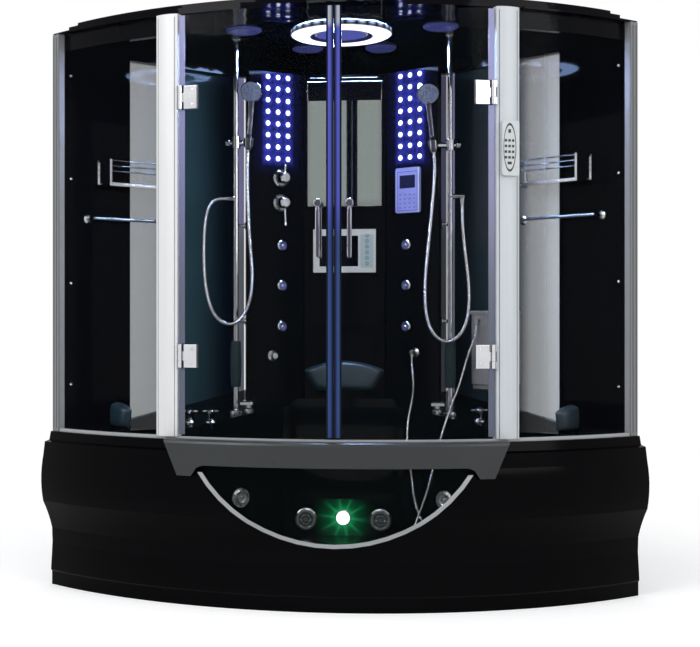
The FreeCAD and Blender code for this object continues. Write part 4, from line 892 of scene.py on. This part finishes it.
# ---- soft pieces ----
def make_foam_grips():
    foam = foam_finish()
    profile = mm((11.6, 762), (15, 760.2), (19, 761.2), (20.4, 766), (21.2, 780), (22.2, 805), (22.9, 835),
                 (23.1, 856), (22.9, 877), (22.2, 907), (21.2, 931), (20.4, 945), (19, 949), (15, 949.8),
                 (11.6, 948.2))
    for side in BOTH:
        rings = lathe(profile, (SIDES[side] * RISER_X, RISER_Y, 0), (0, 0, 1), 32)
        mesh = ring_mesh("grip_" + side, rings + [rings[0]], closed=False)
        grip = piece("foam_sleeve_" + side, mesh, (foam,), "cabin")
    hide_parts("foam_grips")


def pad_mesh(name, half_low, half_high, height, crown, depth, place):
    """Moulded head pad: fan outline, arched top, full front with a rolled edge, flat back."""
    across, up = 28, 16
    tuck, dip, edge_roll = 0.035, 0.004, 0.42  # of the sides, of the foot's corners, of the rim
    mesh = bpy.data.meshes.new(name)
    points, faces = [], []
    for layer in (0, 1):
        for j in range(up + 1):
            b = j / up
            for i in range(across + 1):
                a = -1 + 2 * i / across
                half = half_low + (half_high - half_low) * b ** 0.9
                x = half * a * (1 - tuck * (2 * b - 1) ** 8)
                z = height * b - crown * a * a * b + dip * (1 - b) * (a ** 6)
                roll = (max(0.0, 1 - abs(a) ** 7) * max(0.0, 1 - abs(2 * b - 1) ** 6)) ** edge_roll
                swell = 0.80 + 0.20 * math.cos(a * 1.3) * math.cos((b - 0.45) * 1.6)
                y = 0.0 if layer else -depth * roll * swell
                points.append(place @ Vector((x, y, z)))
    row, size = across + 1, (across + 1) * (up + 1)
    for j in range(up):
        for i in range(across):
            k = j * row + i
            faces.append((k, k + 1, k + row + 1, k + row))
            faces.append((size + k, size + k + row, size + k + row + 1, size + k + 1))
    rim = list(range(row)) + [j * row + across for j in range(1, up + 1)]
    rim += [up * row + i for i in range(across - 1, -1, -1)] + [j * row for j in range(up - 1, 0, -1)]
    for k, here in enumerate(rim):
        after = rim[(k + 1) % len(rim)]
        faces.append((here, size + here, size + after, after))
    mesh.from_pydata(points, [], faces)
    with opened(mesh) as build:
        bmesh.ops.remove_doubles(build, verts=build.verts, dist=0.0002)
        bmesh.ops.recalc_face_normals(build, faces=build.faces)
    return mesh


def make_pillows():
    skin = pillow_finish()
    side_along, side_foot, centre_foot, centre_proud = 1.290, 0.6009, 0.734, 0.0325
    lean = Matrix.Rotation(math.radians(-3), 4, "X")
    centre = Matrix.Translation((0, COLUMN_FACE_Y - centre_proud, centre_foot)) @ lean
    pads = {"head_pad_centre": pad_mesh("pad", 0.122, 0.176, 0.130, 0.040, 0.046, centre)}
    for side in BOTH:
        turn = Matrix.Rotation(math.radians(45 * SIDES[side]), 4, "Z")
        spot = wall_spot(side, side_along, WALL_FACE + 0.0006, side_foot)
        place = Matrix.Translation(spot) @ turn
        pads["head_pad_" + side] = pad_mesh("pad", 0.086, 0.098, 0.104, 0.028, 0.043, place)
    for name, mesh in pads.items():
        pad = piece(name, mesh, (skin,), "cabin")
        rounder = pad.modifiers.new("rounder", "SUBSURF")
        rounder.levels = rounder.render_levels = 1
    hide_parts("pillows")


make_foam_grips()
make_pillows()


# ---- small trim ----
def arc_bar(name, inner, outer, start, end, low, high):
    """Curved bar of rectangular section between two angles, in two steps."""
    rings = []
    for a in (start, (start + end) / 2, end):
        corners = ((inner, low), (outer, low), (outer, high), (inner, high))
        rings.append([arc_spot(radius, a, z) for radius, z in corners])
    return ring_mesh(name, rings)


def make_hinge_side_seals():
    """Vinyl strips on the panes' hinge edges, broken at the hinges."""
    room = 0.045  # half of the gap left at a hinge
    ends = [PANE_LOW, *(z + step for z in HINGES for step in (-room, room)), PANE_HIGH]
    lip = (GLASS_R + 0.0003, GLASS_R + 0.0018, 18.80, 19.06)
    fin = (GLASS_R - 0.0045, GLASS_R + 0.0018, 19.04, 19.56)
    for side in BOTH:
        finish = Finish("edge_vinyl_" + side, (0.22, 0.23, 0.42), 0.25, specular=0.5)
        # Painted lamp light: the vinyl is painted and glows violet, dark towards the bottom and lighter
        # higher up.
        tone = finish.mix(finish.ramp(finish.z, 1.0, 1.9), (0.07, 0.08, 0.12), (0.16, 0.16, 0.32))
        finish.paint(tone)
        finish.glow(tone, 0.22)
        meshes = []
        for low, high in zip(ends[::2], ends[1::2]):
            for inner, outer, start, end in (lip, fin):
                start, end = SIDES[side] * start, SIDES[side] * end
                meshes.append(arc_bar("seal", inner, outer, start, end, low, high))
        strip = piece("edge_seal_" + side, meshes, (finish,), "door_" + side, smooth=False)
        smooth_by_angle(strip)


def make_wall_screws():
    """Dished screw caps that hold the black panels."""
    profile = mm((6, 0), (5.8, 2.2), (4.2, 3.4), (3, 3), (2.2, 1.6), (0.4, 1.4))
    screw_x, heights = 1.058, (1.997, 1.591, 1.180, 0.782)
    along = screw_x * math.sqrt(2) + WALL_FACE
    meshes = []
    for side in BOTH:
        for z in heights:
            spot = wall_spot(side, along, WALL_FACE + 0.0001, z)
            meshes.append(ring_mesh("screw", lathe(profile, spot, wall_out(side), 16)))
    piece("panel_screws", meshes, (polished,), "cabin")


def make_hinge_screws():
    """Countersunk screws in the hinge plates."""
    profile = mm((4.5, 0), (4.3, 1.1), (2.8, 1.4), (1.8, 0.6), (0.3, 0.5))
    angle, half_gap = 17.75, 0.026
    for side in BOTH:
        meshes = []
        for hinge_z in HINGES:
            for z in (hinge_z - half_gap, hinge_z + half_gap):
                spot = arc_spot(GLASS_R + 0.0066, SIDES[side] * angle, z)
                out = spot - Vector((0, ARC_Y, spot.z))
                meshes.append(ring_mesh("screw", lathe(profile, spot, out, 14)))
        piece("hinge_screws_" + side, meshes, (polished,), "door_" + side)


def make_door_handles():
    """Bars on both faces of each door, hung below a round knob bolted through the pane."""
    knob = mm((0.4, -8.5), (11.8, -8.5), (14.8, -6), (14.8, 6), (12.2, 9.4), (7, 10.8), (0.4, 11))
    bar = [(0.0004, HANDLE_LOW), (0.0070, HANDLE_LOW + 0.0004), (0.0088, HANDLE_LOW + 0.0030),
           (0.0088, HANDLE_HIGH - 0.0100), (0.0062, HANDLE_HIGH), (0.0004, HANDLE_HIGH + 0.0004)]
    front, back = GLASS_R, GLASS_R - 0.006
    outer, inner = front + HANDLE_REACH, back - HANDLE_REACH
    for side in BOTH:
        angle = SIDES[side] * HANDLE_ANGLE
        out = (arc_spot(1, angle, 0) - arc_spot(0, angle, 0)).normalized()
        meshes = []
        for radius, way in ((outer, out), (inner, -out)):
            meshes.append(ring_mesh("bar", lathe(bar, arc_spot(radius, angle, 0), (0, 0, 1), 24)))
            meshes.append(ring_mesh("knob", lathe(knob, arc_spot(radius, angle, HANDLE_KNOB), way, 28)))
        for z, foot in ((HANDLE_KNOB, 0.0150), (HANDLE_LOW + 0.017, 0.0090)):
            for start, end, radius in ((inner, outer, 0.0058), (front + 0.0004, front + 0.0050, foot),
                                       (back - 0.0050, back - 0.0004, foot)):
                rod = [(radius, 0.0), (radius, end - start)]
                meshes.append(ring_mesh("rod", lathe(rod, arc_spot(start, angle, z), out, 20)))
        handle = piece("pull_handle_" + side, meshes, (bar_chrome,), "door_" + side)
        smooth_by_angle(handle)
        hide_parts("door_handle_" + side)


def make_mirror_header():
    """Silver bead round the black field above the mirror."""
    face, width, half = COLUMN_FACE_Y - 0.0004, 0.0035, MIRROR_HALF
    bars = [(-half, width - half, MIRROR_TOP + 0.001, HEADER_TOP),
            (half - width, half, MIRROR_TOP + 0.001, HEADER_TOP),
            (-half, half, HEADER_TOP, HEADER_TOP + 0.005),
            (0.012 - half, half - 0.012, HEADER_TOP + 0.018, HEADER_TOP + 0.0205)]
    meshes = []
    for left, right, low, high in bars:
        corners = ((left, low), (right, low), (right, high), (left, high))
        rings = [[Vector((x, y, z)) for x, z in corners] for y in (face, face - 0.0022)]
        meshes.append(ring_mesh("bead", rings))
    bead = piece("mirror_header_bead", meshes, (polished,), "cabin", smooth=False)
    smooth_by_angle(bead)


make_hinge_side_seals()
make_door_handles()
make_mirror_header()
make_wall_screws()
make_hinge_screws()


# ---- room ----
def looked_past(tree):
    """1 for a ray from the camera, off a mirror or through a pane; 0 for light on its way to the object."""
    path = tree.nodes.new("ShaderNodeLightPath")
    seen = path.outputs["Is Camera Ray"]
    for kind in ("Is Glossy Ray", "Is Transmission Ray"):
        larger = tree.nodes.new("ShaderNodeMath")
        larger.operation = "MAXIMUM"
        tree.links.new(seen, larger.inputs[0])
        tree.links.new(path.outputs[kind], larger.inputs[1])
        seen = larger.outputs[0]
    return seen


def make_floor():
    """Pale floor that takes the object's shadow and fades to plain white farther out."""
    mesh = bpy.data.meshes.new("floor")
    mesh.from_pydata([(-30, -30, 0), (30, -30, 0), (30, 30, 0), (-30, 30, 0)], [], [(0, 1, 2, 3)])
    finish = Finish("floor_white", (0.86, 0.86, 0.86), 0.9, specular=0.0)
    seen = looked_past(finish.tree)
    finish.glow((1.0, 1.0, 1.0), finish.times(seen, 0.30))
    bright = finish.node("Emission", (1.0, 1.0, 1.0, 1.0), 1.0)
    both = finish.node("MixShader")
    beyond = finish.ramp(finish.distance(0, 0, 0), 1.35, 2.4)
    finish.put(both.inputs[0], finish.times(seen, beyond))
    finish.put(both.inputs[1], finish.shader.outputs[0])
    finish.put(both.inputs[2], bright.outputs[0])
    finish.put(finish.tree.nodes["Material Output"].inputs["Surface"], both.outputs[0])
    mesh.materials.append(finish.material)
    floor = add("floor", mesh)


def make_world():
    """Grey light on the object; white where the camera, a mirror or a pane looks past it."""
    world = bpy.data.worlds.new("studio")
    scene.world = world
    world.use_nodes = True
    tree = world.node_tree
    tree.nodes.clear()
    sources = [looked_past(tree)]
    for color, strength in (((0.95, 0.97, 1.0), 0.55), ((1.0, 1.0, 1.0), 1.0)):
        shade = tree.nodes.new("ShaderNodeBackground")
        shade.inputs["Color"].default_value = (*color, 1.0)
        shade.inputs["Strength"].default_value = strength
        sources.append(shade.outputs[0])
    both = tree.nodes.new("ShaderNodeMixShader")
    for source, socket in zip(sources, both.inputs):
        tree.links.new(source, socket)
    output = tree.nodes.new("ShaderNodeOutputWorld")
    tree.links.new(both.outputs[0], output.inputs[0])


def make_light(name, spot, target, size, watts, color=(1, 1, 1), glossy=True):
    data = bpy.data.lights.new(name, "AREA")
    data.shape, data.size, data.size_y = "RECTANGLE", size[0], size[1]
    data.energy, data.color = watts, color
    light = add(name, data)
    light.location = spot
    light.rotation_euler = (Vector(target) - Vector(spot)).to_track_quat("-Z", "Y").to_euler()
    light.visible_camera = False
    light.visible_transmission = False
    light.visible_glossy = glossy


make_floor()
make_world()
make_light("key", (-3.6, -4.6, 4.4), (0, 0, 1.1), (2.6, 2.6), 170)
make_light("fill", (4.4, -3.8, 2.8), (0, 0, 1.0), (2.6, 2.6), 80)
make_light("top", (0, -0.6, 5.0), (0, 0, 1.0), (3.0, 3.0), 70)
for side in BOTH:
    lit_from = panel_spot(side, LED_COLUMNS[1], 1.888, 0.07)
    make_light("column_lamp_" + side, lit_from, lit_from + panel_out(side), (0.12, 0.34), 2.6,
               (0.16, 0.22, 1.0), False)
make_light("ceiling_lamp", (LAMP_X, LAMP_Y, 2.165), (LAMP_X, LAMP_Y, 1.0), (0.36, 0.36), 7.0,
           (0.75, 0.82, 1.0), False)
make_light("bath_lamp", (0, 0.075, 0.214), (0, -0.6, 0.2), (0.04, 0.04), 0.35, (0.05, 1.0, 0.35), False)
